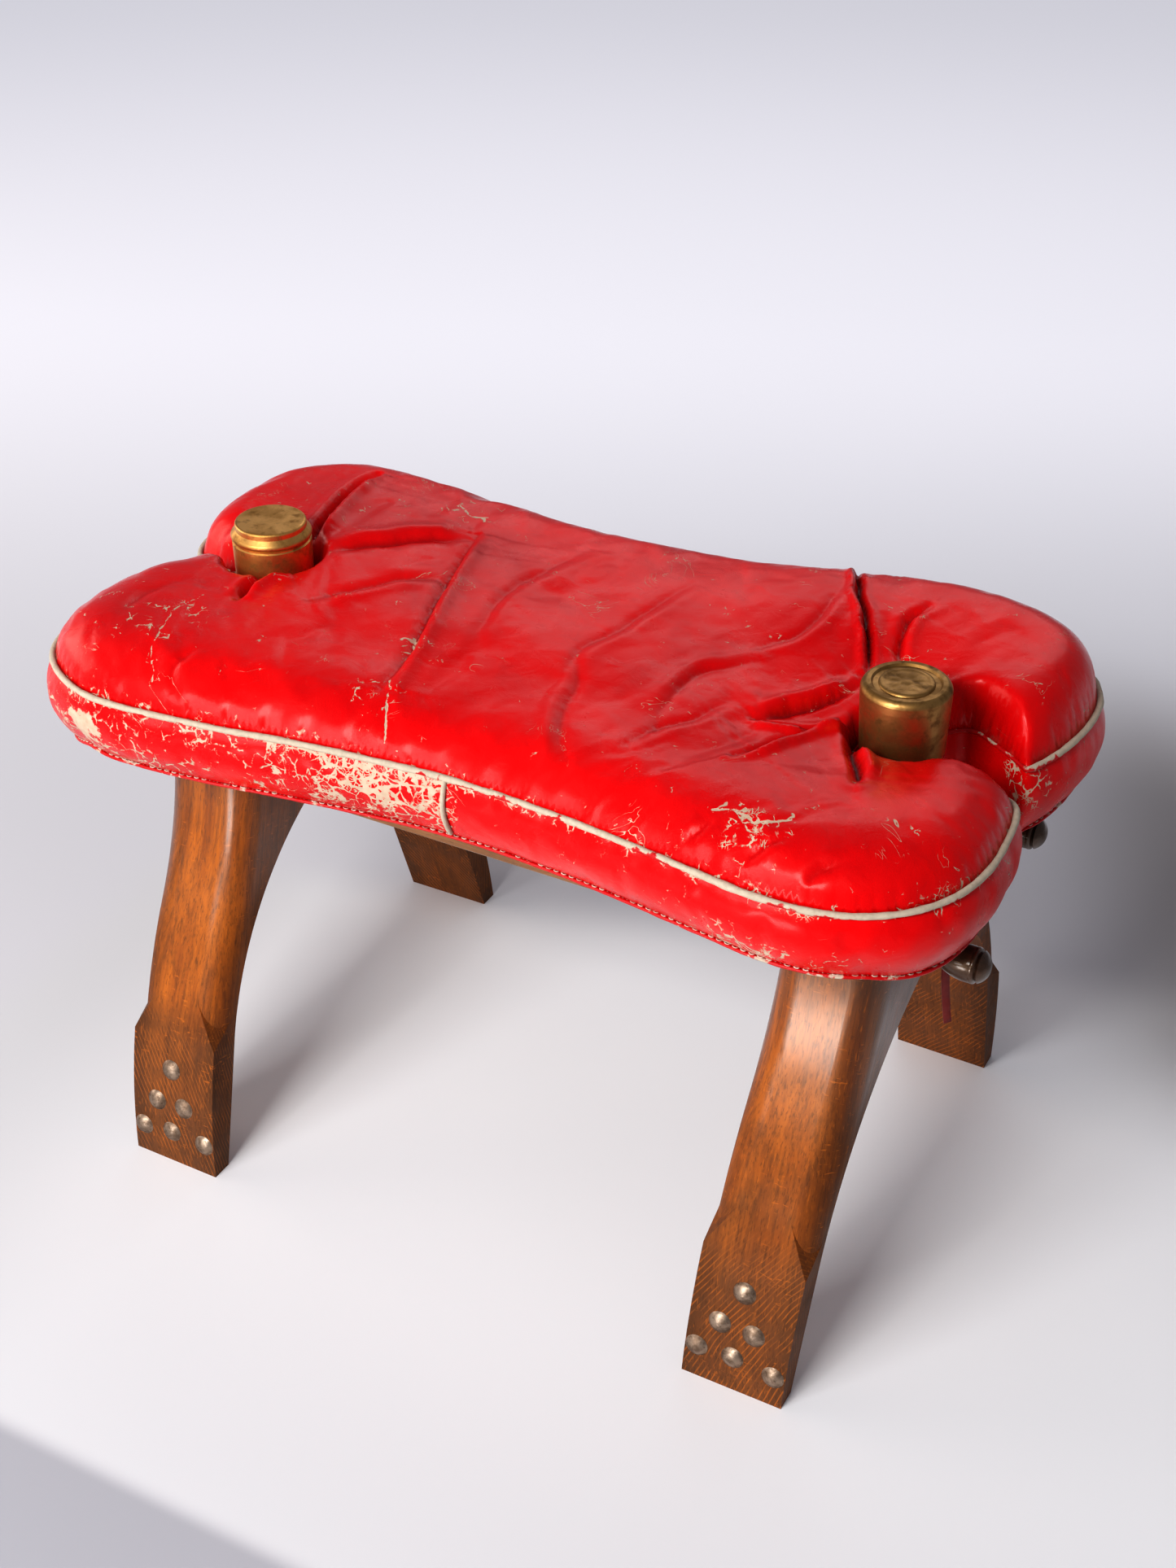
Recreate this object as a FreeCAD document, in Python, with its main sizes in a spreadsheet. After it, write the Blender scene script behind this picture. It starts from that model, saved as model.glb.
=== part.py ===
"""Camel-saddle stool: a loose leather cushion on two curved wooden arches.

Each arch is a front and a rear leg that meet under a short post with a brass cap.
Two turned rods and two rails run lengthways between the arches. The cushion is
notched at both ends, sits down over the posts and lifts straight off.

X runs along the stool, Y from front to rear, Z up. The origin is on the floor,
under the middle of the stool. Lengths are in millimetres and angles in degrees.
"""
import FreeCAD, Part
import Sketcher
import math
import os
import re

from FreeCAD import Placement, Rotation, Vector

SIZES = {
    # curved legs
    "LegWidth": 70.0,
    "LegAcross": 221.6,
    "LegLean": 2.2,
    "FootSpare": 4.0,
    "FootOuterY": 194.4,
    "FootInnerY": 179.8,
    "FootInnerTopY": 151.3,
    "FootInnerTopZ": 93.3,
    "KneeY": 134.4,
    "KneeZ": 186.7,
    "KneeRadius": 434.0,
    "ShoulderY": 99.0,
    "ShoulderZ": 282.5,
    "ArchApexZ": 243.4,
    "ArchRadius": 223.0,
    "CrownTopZ": 310.0,
    "CrownSpare": 5.0,
    "Roundover": 19.0,
    "BlockTopZ": 136.0,
    "BevelFootZ": 98.0,
    "BevelRise": 34.0,
    "BevelSideRise": 14.0,
    # crown joint
    "DowelRadius": 5.0,
    "DowelLength": 70.0,
    "DowelSpread": 23.0,
    "DowelZ": 274.0,
    "GlueGap": 0.1,
    # posts and their caps
    "PostAcross": 232.0,
    "PostRadius": 24.5,
    "PostTopZ": 422.0,
    "TenonRadius": 11.0,
    "TenonLength": 46.0,
    "CapRadius": 27.7,
    "CapTopZ": 427.0,
    "CapDepth": 46.0,
    # turned rods with a finial plugged into each end
    "RodRadius": 8.0,
    "RodLength": 552.0,
    "RodShift": 8.0,
    "RodY": 74.0,
    "RodZ": 294.5,
    "FinialLength": 40.0,
    "FinialRadius": 11.2,
    "PegRadius": 3.5,
    "PegLength": 16.0,
    # rails and their screws
    "RailThickness": 13.0,
    "RailHeight": 30.0,
    "RailLength": 532.0,
    "RailOuterY": 99.0,
    "RailTopZ": 311.0,
    "RailEdge": 2.0,
    "ScrewRadius": 2.0,
    "ScrewHeadRadius": 4.2,
    "ScrewLength": 52.0,
    "ScrewSpread": 16.0,
    # studs on the feet
    "StudRadius": 7.8,
    "StudRise": 3.6,
    "ShankRadius": 1.4,
    "ShankLength": 14.0,
    # cushion
    "CushionBottomZ": 311.5,
    "CushionTopZ": 404.0,
    "PipingZ": 369.0,
    "WaistY": 144.0,
    "LobeAcross": 205.0,
    "LobeY": 165.0,
    "RearWaistY": 156.0,
    "RearLobeY": 180.0,
    "EndCornerAcross": 315.0,
    "EndCornerY": 92.0,
    "EndAcross": 309.0,
    "TopRound": 30.0,
    "BottomRound": 11.0,
    "PocketRadius": 33.5,
    "SlotHalfWidth": 9.0,
    "MouthHalfWidth": 15.0,
    "FlareStart": 25.0,
    "FlareEnd": 4.0,
    "FlareSpare": 40.0,
    "LeatherThickness": 1.6,
    "PipingRadius": 2.6,
    # leather tie that hangs under the cushion
    "TieWidth": 5.2,
}

# Cutting tools reach past every part, so their own size doesn't matter.
REACH = 500.0

LEFT, RIGHT = -1, 1
FRONT, REAR = -1, 1
SIDE_NAME = {LEFT: "left", RIGHT: "right"}
END_NAME = {FRONT: "front", REAR: "rear"}
CORNERS = [(side, end) for side in (LEFT, RIGHT) for end in (FRONT, REAR)]

# Studs on a foot's outer face: offset across the leg, height above the floor.
STUD_SPOTS = [(-1.5, 75.0), (-14.0, 48.0), (9.5, 48.0), (-27.0, 23.5), (-2.0, 25.5), (26.5, 23.5)]

# The tie's route, from the cushion's underside to its cut end.
TIE_ROUTE = [(283, -38, 311.5), (283, -38.5, 291), (285, -37, 266), (286.5, -38, 240), (290, -37, 215)]

X_AXIS, Y_AXIS, Z_AXIS = Vector(1, 0, 0), Vector(0, 1, 0), Vector(0, 0, 1)

doc = FreeCAD.newDocument("camel_saddle_stool")
sheet = doc.addObject("Spreadsheet::Sheet", "Sizes")
for row, (alias, amount) in enumerate(SIZES.items(), start=1):
    sheet.set("A%d" % row, alias)
    sheet.set("B%d" % row, str(amount))
    sheet.setAlias("B%d" % row, alias)
doc.recompute()

nodes = []


# ---------------------------------------------------------------- helpers

def size(expression):
    """What an expression over the sheet's aliases comes to."""
    return float(sheet.evalExpression(expression))


def bind(item, **properties):
    """Bind properties to expressions over the sheet. Aliases start with a capital."""
    for name, expression in properties.items():
        item.setExpression(name, re.sub(r"[A-Z][A-Za-z]+", r"Sizes.\g<0>", str(expression)))


def keep(item, label):
    """Name a finished sub-part."""
    item.Label = label
    nodes.append(item)
    return item


def at(x=0, y=0, z=0, axis=Z_AXIS, angle=0):
    return Placement(Vector(x, y, z), Rotation(axis, angle))


def along(direction, x=0, y=0, z=0):
    """Placement that turns an upright piece to point along a direction."""
    return Placement(Vector(x, y, z), Rotation(Z_AXIS, direction))


def cylinder(name, radius, height, placement):
    item = doc.addObject("Part::Cylinder", name)
    bind(item, Radius=radius, Height=height)
    item.Placement = placement
    return item


def box(name, length, width, height, low):
    item = doc.addObject("Part::Box", name)
    bind(item, Length=length, Width=width, Height=height)
    item.Placement = at(*low)
    return item


def combine(kind, name, parts):
    """Part::MultiFuse or Part::MultiCommon of some shapes."""
    item = doc.addObject(kind, name)
    item.Shapes = parts
    return item


def cut(name, base, tools):
    item = doc.addObject("Part::Cut", name)
    item.Base = base
    item.Tool = tools[0] if len(tools) == 1 else combine("Part::MultiFuse", name + "_tools", tools)
    return item


def group(name, parts):
    """Separate solids of one node, such as a set of nails."""
    item = doc.addObject("Part::Compound", name)
    item.Links = parts
    return item


def turned(direction, degrees):
    angle = math.radians(degrees)
    return Vector(direction.x * math.cos(angle) - direction.y * math.sin(angle),
                  direction.x * math.sin(angle) + direction.y * math.cos(angle), 0)


def signed_angle(first, second):
    """Angle from the first direction to the second, positive to the left."""
    return math.degrees(math.atan2(first.x * second.y - first.y * second.x, first.dot(second)))


def outline(body, name, role, corners, height="0"):
    """Closed sketch through corners (x, y, edge), with x and y expressions.

    The edge that leaves a corner is straight if it is empty, an arc that leaves
    smoothly from the edge before if it is "smooth", and otherwise an arc whose radius
    it gives. A radius with a minus sign turns right on the way.
    """
    sketch = body.newObject("Sketcher::SketchObject", name)
    plane = next(item for item in body.Origin.OriginFeatures if item.Role == role)
    sketch.AttachmentSupport = [(plane, "")]
    sketch.MapMode = "FlatFace"
    bind(sketch, **{"AttachmentOffset.Base.z": height})
    points = [Vector(size(x), size(y), 0) for x, y, _ in corners]
    ends = []
    heading = None
    for number, (start, (_, _, edge)) in enumerate(zip(points, corners)):
        end = points[(number + 1) % len(points)]
        chord = end - start
        half = chord.Length / 2
        if not edge:
            sketch.addGeometry(Part.LineSegment(start, end))
            ends.append((1, 2))
            heading = chord
            continue
        if edge == "smooth":
            half_turn = signed_angle(heading, chord)
        else:
            half_turn = math.degrees(math.asin(half / size(edge)))
        side_step = Vector(chord.y, -chord.x, 0).normalize()
        bulge = half * math.tan(math.radians(half_turn / 2))
        sketch.addGeometry(Part.Arc(start, (start + end) * 0.5 + side_step * bulge, end))
        ends.append((1, 2) if half_turn > 0 else (2, 1))
        heading = turned(chord, half_turn)
    for number, (x, y, edge) in enumerate(corners):
        first, last = ends[number]
        before = (number - 1) % len(corners)
        joint = "Tangent" if edge == "smooth" else "Coincident"
        sketch.addConstraint(Sketcher.Constraint(joint, before, ends[before][1], number, first))
        for kind, expression in (("DistanceX", x), ("DistanceY", y)):
            limit = Sketcher.Constraint(kind, -1, 1, number, first, size(expression))
            bind(sketch, **{"Constraints[%d]" % sketch.addConstraint(limit): expression})
        if edge and edge != "smooth":
            limit = Sketcher.Constraint("Radius", number, abs(size(edge)))
            bind(sketch, **{"Constraints[%d]" % sketch.addConstraint(limit): "abs(%s)" % edge})
    return sketch


def pad(body, sketch, length, midplane=False):
    item = body.newObject("PartDesign::Pad", "pad")
    item.Profile = sketch
    item.SideType = "Symmetric" if midplane else "One side"
    bind(item, Length=length)
    return item


def fillet(body, base, radius, chosen):
    """Round the edges of the base for which chosen(edge) is true."""
    doc.recompute()
    names = ["Edge%d" % (n + 1) for n, edge in enumerate(base.Shape.Edges) if chosen(edge)]
    item = body.newObject("PartDesign::Fillet", "fillet")
    item.Base = (base, names)
    bind(item, Radius=radius)
    return item


def lathe(name, corners):
    """Body turned about its own Z axis from an outline (radius, height, edge)."""
    body = doc.addObject("PartDesign::Body", name)
    sketch = outline(body, name + "_section", "XZ_Plane", corners)
    item = body.newObject("PartDesign::Revolution", "turning")
    item.Profile = sketch
    item.ReferenceAxis = (sketch, ["V_Axis"])
    item.Angle = 360
    return body


# ---------------------------------------------------------------- legs

def knee_arc():
    """Centre of the arc that a leg's outer face follows, from the foot to the knee."""
    start = Vector(size("FootOuterY"), -size("FootSpare"), 0)
    end = Vector(size("KneeY"), size("KneeZ"), 0)
    chord = end - start
    reach = math.sqrt(size("KneeRadius") ** 2 - (chord.Length / 2) ** 2)
    return (start + end) * 0.5 + Vector(-chord.y, chord.x, 0).normalize() * reach


def outer_face(x, z, end):
    """Point on a leg's outer face below the knee, and the face's outward direction."""
    centre = knee_arc()
    radius = size("KneeRadius")
    y = centre.x + math.sqrt(radius ** 2 - (z - centre.y) ** 2)
    return Vector(x, end * y, z), Vector(0, end * (y - centre.x) / radius, (z - centre.y) / radius)


def leg_blank(name, end):
    """Side view of a leg up to its shoulder, given its width."""
    body = doc.addObject("PartDesign::Body", name)
    sign = "%d * " % end
    corners = [
        (sign + "FootOuterY", "-FootSpare", sign + "KneeRadius"),
        (sign + "KneeY", "KneeZ", "smooth"),
        (sign + "ShoulderY", "ShoulderZ", ""),
        ("0", "ShoulderZ", ""),
        ("0", "ArchApexZ", sign + "-ArchRadius"),
        (sign + "FootInnerTopY", "FootInnerTopZ", ""),
        (sign + "FootInnerY", "-FootSpare", ""),
    ]
    return body, pad(body, outline(body, name + "_side", "YZ_Plane", corners), "LegWidth", True)


def on_outer_edge(edge):
    """Whether an edge of a leg blank is one of the arcs beside its outer face."""
    return (edge.Curve.TypeId == "Part::GeomCircle"
            and abs(edge.Curve.Radius - size("ArchRadius")) > 1)


def bevel_cutter(name, side, end):
    """Block whose lower face is the slope that ends the roundover above the foot."""
    half, foot, rise = size("LegWidth / 2"), size("BevelFootZ"), size("BevelRise")
    low = outer_face(side * half, foot, end)[0]
    inner = outer_face(side * (half - size("Roundover")), foot + rise, end)[0]
    back = outer_face(side * half, foot + size("BevelSideRise"), end)[0]
    back.y -= end * size("Roundover")
    first = (inner - low).normalize()
    normal = first.cross(back - low).normalize()
    if normal.z < 0:
        normal = -normal
    second = normal.cross(first)
    corner = low - (first + second) * size("LegWidth")
    item = box(name, "2 * LegWidth", "2 * LegWidth", "LegWidth", (0, 0, 0))
    item.Placement = Placement(corner, Rotation(first, second, normal, "ZXY"))
    return item


def make_leg(side, end):
    name = "%s_%s_leg" % (SIDE_NAME[side], END_NAME[end])
    lean = at(side * size("LegAcross"), 0, 0, Y_AXIS, side * size("LegLean"))

    rounded, blank = leg_blank(name + "_rounded", end)
    fillet(rounded, blank, "Roundover", on_outer_edge)
    square, _ = leg_blank(name + "_square", end)
    low_part = box(name + "_low", REACH, REACH, "BlockTopZ + FootSpare",
                   (-REACH / 2, -REACH / 2, -size("FootSpare")))
    foot = cut(name + "_foot", combine("Part::MultiCommon", name + "_block", [square, low_part]),
               [bevel_cutter(name + "_bevel_%s" % SIDE_NAME[s], s, end) for s in (LEFT, RIGHT)])
    rebate_y = size("RailOuterY - RailThickness - GlueGap")
    crown = box(name + "_crown", "LegWidth", rebate_y, "CrownTopZ - ShoulderZ + CrownSpare",
                (-size("LegWidth / 2"), min(0, end * rebate_y), size("ShoulderZ")))
    whole = combine("Part::MultiFuse", name + "_whole", [rounded, foot, crown])
    whole.Placement = lean

    middle = side * size("PostAcross")
    tools = [
        box(name + "_floor", REACH, REACH, REACH, (middle - REACH / 2, -REACH / 2, -REACH)),
        box(name + "_level", REACH, REACH, REACH, (middle - REACH / 2, -REACH / 2, size("CrownTopZ"))),
        box(name + "_rebate", REACH, REACH, REACH,
            (middle - REACH / 2, end * rebate_y - (REACH if end == FRONT else 0), size("RailTopZ - RailHeight"))),
        cylinder(name + "_rod_hole", "RodRadius + GlueGap", REACH,
                 along(X_AXIS, middle - REACH / 2, end * size("RodY"), size("RodZ"))),
        cylinder(name + "_tenon_hole", "TenonRadius + GlueGap", REACH,
                 at(middle, 0, size("CrownTopZ - TenonLength - GlueGap"))),
    ]
    tools += [screw(name + "_screw_hole", x, y, "GlueGap") for x, y in screw_places(end) if x * side > 0]
    for step in (-1, 1):
        tools.append(cylinder(name + "_dowel_hole", "DowelRadius + GlueGap", "DowelLength + 4 * GlueGap",
                              along(Y_AXIS, middle + step * size("DowelSpread"),
                                    -size("DowelLength / 2 + 2 * GlueGap"), size("DowelZ"))))
    for across, height in STUD_SPOTS:
        spot, outward = outer_face(across, height, end)
        start = spot - outward * size("ShankLength + GlueGap")
        hole = cylinder(name + "_nail_hole", "ShankRadius + GlueGap", "ShankLength + StudRise",
                        along(outward, *start))
        hole.Placement = lean.multiply(hole.Placement)
        tools.append(hole)
    keep(cut(name, whole, tools), name)


def make_studs(side, end):
    """Six domed nails on the outer face of a foot."""
    name = "%s_%s_studs" % (SIDE_NAME[side], END_NAME[end])
    lean = at(side * size("LegAcross"), 0, 0, Y_AXIS, side * size("LegLean"))
    ball = "(StudRadius^2 + StudRise^2) / (2 * StudRise)"
    studs = []
    for across, height in STUD_SPOTS:
        spot, outward = outer_face(across, height, end)
        head = doc.addObject("Part::Sphere", name + "_head")
        bind(head, Radius=ball, Angle1="acos(StudRadius / (%s))" % ball)
        head.Placement = lean.multiply(along(outward, *(spot - outward * size("(%s) - StudRise" % ball))))
        shank = cylinder(name + "_shank", "ShankRadius", "ShankLength + 0.5",
                         lean.multiply(along(outward, *(spot - outward * size("ShankLength")))))
        studs.append(combine("Part::MultiFuse", name + "_nail", [head, shank]))
    keep(group(name, studs), name)


def make_dowels(side):
    name = SIDE_NAME[side] + "_crown_dowels"
    dowels = [cylinder(name + "_pin", "DowelRadius", "DowelLength",
                       along(Y_AXIS, side * size("PostAcross") + step * size("DowelSpread"),
                             -size("DowelLength / 2"), size("DowelZ")))
              for step in (-1, 1)]
    keep(group(name, dowels), name)


# ---------------------------------------------------------------- posts and caps

def make_post(side):
    """Turned post with a tenon that goes down between the two legs."""
    name = SIDE_NAME[side] + "_post"
    post = lathe(name, [
        ("0", "CrownTopZ - TenonLength", ""),
        ("TenonRadius", "CrownTopZ - TenonLength", ""),
        ("TenonRadius", "CrownTopZ", ""),
        ("PostRadius", "CrownTopZ", ""),
        ("PostRadius", "PostTopZ - 2", ""),
        ("PostRadius - 2", "PostTopZ", ""),
        ("0", "PostTopZ", ""),
    ])
    post.Placement = at(side * size("PostAcross"))
    keep(post, name)


def make_lid_cap():
    """Left cap: a stepped lid, with a groove and a ring above the skirt."""
    cap = lathe("left_cap", [
        ("PostRadius + GlueGap", "CapTopZ - CapDepth", ""),
        ("CapRadius - 0.9", "CapTopZ - CapDepth", ""),
        ("CapRadius - 0.5", "CapTopZ - 14", ""),
        ("CapRadius - 1.4", "CapTopZ - 13.2", ""),
        ("CapRadius - 1.4", "CapTopZ - 12.4", ""),
        ("CapRadius - 0.7", "CapTopZ - 11.4", "3"),
        ("CapRadius - 0.7", "CapTopZ - 7.4", ""),
        ("CapRadius - 3.2", "CapTopZ - 4.6", ""),
        ("CapRadius - 3.2", "CapTopZ - 1.6", "1.8"),
        ("CapRadius - 4.8", "CapTopZ", ""),
        ("0", "CapTopZ", ""),
        ("0", "PostTopZ", ""),
        ("PostRadius + GlueGap", "PostTopZ", ""),
    ])
    cap.Placement = at(-size("PostAcross"))
    keep(cap, "left_cap")


def make_cup_cap():
    """Right cap: a deep cup with a rounded rim and a dished top with a low boss."""
    cap = lathe("right_cap", [
        ("PostRadius + GlueGap", "CapTopZ - CapDepth", ""),
        ("CapRadius - 1.5", "CapTopZ - CapDepth", ""),
        ("CapRadius", "CapTopZ - 9", ""),
        ("CapRadius", "CapTopZ - 4", "5"),
        ("CapRadius - 3.6", "CapTopZ", ""),
        ("CapRadius - 6.2", "CapTopZ", ""),
        ("CapRadius - 7.4", "CapTopZ - 1.4", ""),
        ("11", "CapTopZ - 1.4", ""),
        ("10", "CapTopZ - 0.5", ""),
        ("0", "CapTopZ - 0.5", ""),
        ("0", "PostTopZ", ""),
        ("PostRadius + GlueGap", "PostTopZ", ""),
    ])
    cap.Placement = at(size("PostAcross"))
    keep(cap, "right_cap")


# ---------------------------------------------------------------- rods, finials and rails

def rod_shift(end):
    """The front rod sits a little to the right, and the rear one to the left."""
    return -end * size("RodShift")


def make_rod(end):
    name = END_NAME[end] + "_rod"
    y, z = end * size("RodY"), size("RodZ")
    start = rod_shift(end) - size("RodLength / 2")
    sockets = [cylinder(name + "_socket", "PegRadius + GlueGap", "PegLength + GlueGap",
                        along(X_AXIS * -side, rod_shift(end) + side * size("RodLength / 2"), y, z))
               for side in (LEFT, RIGHT)]
    blank = cylinder(name + "_blank", "RodRadius", "RodLength", along(X_AXIS, start, y, z))
    keep(cut(name, blank, sockets), name)


def make_finial(side, end):
    """Turned knob: a peg, two rings, a bulb and a button behind a groove."""
    name = "%s_%s_finial" % (SIDE_NAME[side], END_NAME[end])
    finial = lathe(name, [
        ("0", "-PegLength", ""),
        ("PegRadius", "-PegLength", ""),
        ("PegRadius", "0", ""),
        ("7.6", "0", ""),
        ("7.6", "2.4", ""),
        ("5.6", "3.6", ""),
        ("7.0", "5.2", "2"),
        ("6.8", "7.4", ""),
        ("5.4", "8.6", ""),
        ("FinialRadius * 0.68", "12", "30"),
        ("FinialRadius", "FinialLength - 10.5", "3"),
        ("FinialRadius - 0.4", "FinialLength - 7.6", ""),
        ("FinialRadius - 2.2", "FinialLength - 6.8", ""),
        ("FinialRadius - 1", "FinialLength - 5.6", "11"),
        ("2", "FinialLength", ""),
        ("0", "FinialLength", ""),
    ])
    finial.Placement = along(X_AXIS * side, rod_shift(end) + side * size("RodLength / 2"),
                             end * size("RodY"), size("RodZ"))
    keep(finial, name)


def screw_places(end):
    y = end * size("RailOuterY - RailThickness / 2")
    return [(side * size("PostAcross") + step * size("ScrewSpread"), y)
            for side in (LEFT, RIGHT) for step in (-1, 1)]


def screw(name, x, y, spare):
    """Countersunk screw, driven down from the rail's top, or its hole with some room to spare."""
    head = doc.addObject("Part::Cone", name + "_head")
    bind(head, Radius1="ScrewRadius + %s" % spare, Radius2="ScrewHeadRadius + %s" % spare,
         Height="ScrewHeadRadius - ScrewRadius")
    head.Placement = at(x, y, size("RailTopZ - ScrewHeadRadius + ScrewRadius"))
    shank = cylinder(name + "_shank", "ScrewRadius + %s" % spare, "ScrewLength + %s" % spare,
                     at(x, y, size("RailTopZ - ScrewLength - %s" % spare)))
    return combine("Part::MultiFuse", name, [head, shank])


def make_rail(end):
    name = END_NAME[end] + "_rail"
    body = doc.addObject("PartDesign::Body", name + "_board")
    side = outline(body, name + "_section", "YZ_Plane", [
        ("%d * RailOuterY - RailThickness * %d" % (end, end > 0), "RailTopZ - RailHeight", ""),
        ("%d * RailOuterY + RailThickness * %d" % (end, end < 0), "RailTopZ - RailHeight", ""),
        ("%d * RailOuterY + RailThickness * %d" % (end, end < 0), "RailTopZ", ""),
        ("%d * RailOuterY - RailThickness * %d" % (end, end > 0), "RailTopZ", ""),
    ])
    board = pad(body, side, "RailLength", True)
    fillet(body, board, "RailEdge", lambda edge: edge.Length > size("RailLength") - 1)
    holes = [screw(name + "_hole", x, y, "GlueGap") for x, y in screw_places(end)]
    keep(cut(name, body, holes), name)


def make_rail_screws():
    screws = [screw("rail_screw", x, y, "0") for end in (FRONT, REAR) for x, y in screw_places(end)]
    keep(group("rail_screws", screws), "rail_screws")


# ---------------------------------------------------------------- cushion

def cushion_half(name, end, inset, bottom, top, rounded):
    """Front or rear half of the cushion: one quarter, mirrored left to right. The rear lobes are larger."""
    body = doc.addObject("PartDesign::Body", name)
    prefix = "" if end == FRONT else "Rear"
    waist, lobe = "(%sWaistY - %s)" % (prefix, inset), "(%sLobeY - %s)" % (prefix, inset)
    waist_radius = "-(LobeAcross^2 + (%s - %s)^2) / (2 * (%s - %s))" % (lobe, waist, lobe, waist)
    quarter = outline(body, name + "_plan", "XY_Plane", [
        ("0", "0", ""),
        ("0", "-" + waist, waist_radius),
        ("LobeAcross", "-" + lobe, "smooth"),
        ("EndCornerAcross - %s" % inset, "-EndCornerY", "smooth"),
        ("EndAcross - %s" % inset, "0", ""),
    ], height=bottom)
    solid = pad(body, quarter, "(%s) - (%s)" % (top, bottom))
    if rounded:
        def outer_at(level):
            return lambda edge: (edge.Curve.TypeId == "Part::GeomCircle"
                                 and abs(edge.BoundBox.ZMin - level) < 0.01 and edge.BoundBox.ZLength < 0.01)
        solid = fillet(body, solid, "TopRound - %s" % inset, outer_at(size(top)))
        solid = fillet(body, solid, "BottomRound - %s" % inset, outer_at(size(bottom)))
    mirror = body.newObject("PartDesign::Mirrored", "mirror")
    mirror.Originals = []
    mirror.TransformMode = "Whole shape"
    mirror.MirrorPlane = (next(item for item in body.Origin.OriginFeatures if item.Role == "YZ_Plane"), [""])
    body.Tip = mirror
    body.Placement = at(0, 0, 0, Z_AXIS, 0 if end == FRONT else 180)
    doc.recompute()
    return body


def cushion_form(name, inset, bottom, top, rounded=True):
    """Cushion shape, drawn in by an inset: two halves joined, then notched for the posts."""
    whole = combine("Part::MultiFuse", name, [
        cushion_half(name + "_front", FRONT, inset, bottom, top, rounded),
        cushion_half(name + "_rear", REAR, inset, bottom, top, rounded)])
    whole.Refine = True
    return notched(name, whole, inset)


def notched(name, body, inset):
    """Cut the keyhole for the post out of both ends."""
    tools = []
    for side in (LEFT, RIGHT):
        centre = side * size("PostAcross")
        tools.append(cylinder(name + "_pocket", "PocketRadius + %s" % inset, REACH, at(centre)))
        slot_body = doc.addObject("PartDesign::Body", name + "_slot")
        slot = "(SlotHalfWidth + %s)" % inset
        mouth = "(MouthHalfWidth + %s)" % inset
        sketch = outline(slot_body, name + "_slot_plan", "XY_Plane", [
            ("0", "-" + slot, ""),
            ("EndAcross - PostAcross - FlareStart", "-" + slot, ""),
            ("EndAcross - PostAcross + FlareEnd", "-" + mouth, ""),
            ("EndAcross - PostAcross + FlareSpare", "-2 * " + mouth, ""),
            ("EndAcross - PostAcross + FlareSpare", "2 * " + mouth, ""),
            ("EndAcross - PostAcross + FlareEnd", mouth, ""),
            ("EndAcross - PostAcross - FlareStart", slot, ""),
            ("0", slot, ""),
        ])
        pad(slot_body, sketch, REACH)
        slot_body.Placement = at(centre, 0, 0, Z_AXIS, 0 if side == RIGHT else 180)
        tools.append(slot_body)
    return cut(name + "_notched", body, tools)


def make_cushion():
    """Stuffing, and the leather cover in the pieces it is sewn from."""
    leather = "LeatherThickness"
    outer = cushion_form("cushion_outside", "0", "CushionBottomZ", "CushionTopZ")
    stuffing = cushion_form("stuffing", leather, "CushionBottomZ + " + leather, "CushionTopZ - " + leather)
    cover = cut("cushion_cover", outer, [stuffing])
    low, piping = size("CushionBottomZ + " + leather), size("PipingZ")
    regions = {
        "bottom_panel": ((-REACH, -REACH, 0), (2 * REACH, 2 * REACH, low)),
        "front_left_band": ((-REACH, -REACH, low), (REACH, REACH, piping - low)),
        "front_right_band": ((0, -REACH, low), (REACH, REACH, piping - low)),
        "rear_band": ((-REACH, 0, low), (2 * REACH, REACH, piping - low)),
        "top_panel": ((-REACH, -REACH, piping), (2 * REACH, 2 * REACH, REACH)),
    }
    keep(stuffing, "cushion_stuffing")
    for name, (corner, extent) in regions.items():
        region = box(name + "_region", *extent, corner)
        keep(combine("Part::MultiCommon", name, [cover, region]), name)
    bead = cushion_form("bead", "-PipingRadius", "PipingZ - PipingRadius", "PipingZ + PipingRadius", False)
    keep(cut("top_piping", bead, [outer]), "top_piping")
    seam = box("seam_bead", "2 * PipingRadius", "10", "PipingZ - CushionBottomZ - BottomRound - PipingRadius",
               (-size("PipingRadius"), -size("WaistY + PipingRadius"), size("CushionBottomZ + BottomRound")))
    keep(cut("front_seam_piping", seam, [outer]), "front_seam_piping")


# ---------------------------------------------------------------- leather tie

def cord_path(route):
    """Straight runs joined by the largest tangent arcs that the runs leave room for."""
    points = [Vector(*point) for point in route]
    edges = []
    start = points[0]
    for before, corner, after in zip(points, points[1:], points[2:]):
        arriving, leaving = corner - before, after - corner
        turn = arriving.getAngle(leaving)
        trim = 0.45 * min(arriving.Length, leaving.Length)
        print("tie arc radius %.0f mm" % (trim / math.tan(turn / 2)))
        first = corner - arriving.normalize() * trim
        last = corner + leaving.normalize() * trim
        bisector = (leaving - arriving).normalize()
        radius = trim / math.tan(turn / 2)
        middle = corner + bisector * (radius / math.cos(turn / 2) - radius)
        edges.append(Part.LineSegment(start, first).toShape())
        edges.append(Part.Arc(first, middle, last).toShape())
        start = last
    edges.append(Part.LineSegment(start, points[-1]).toShape())
    return Part.Wire(edges)


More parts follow.
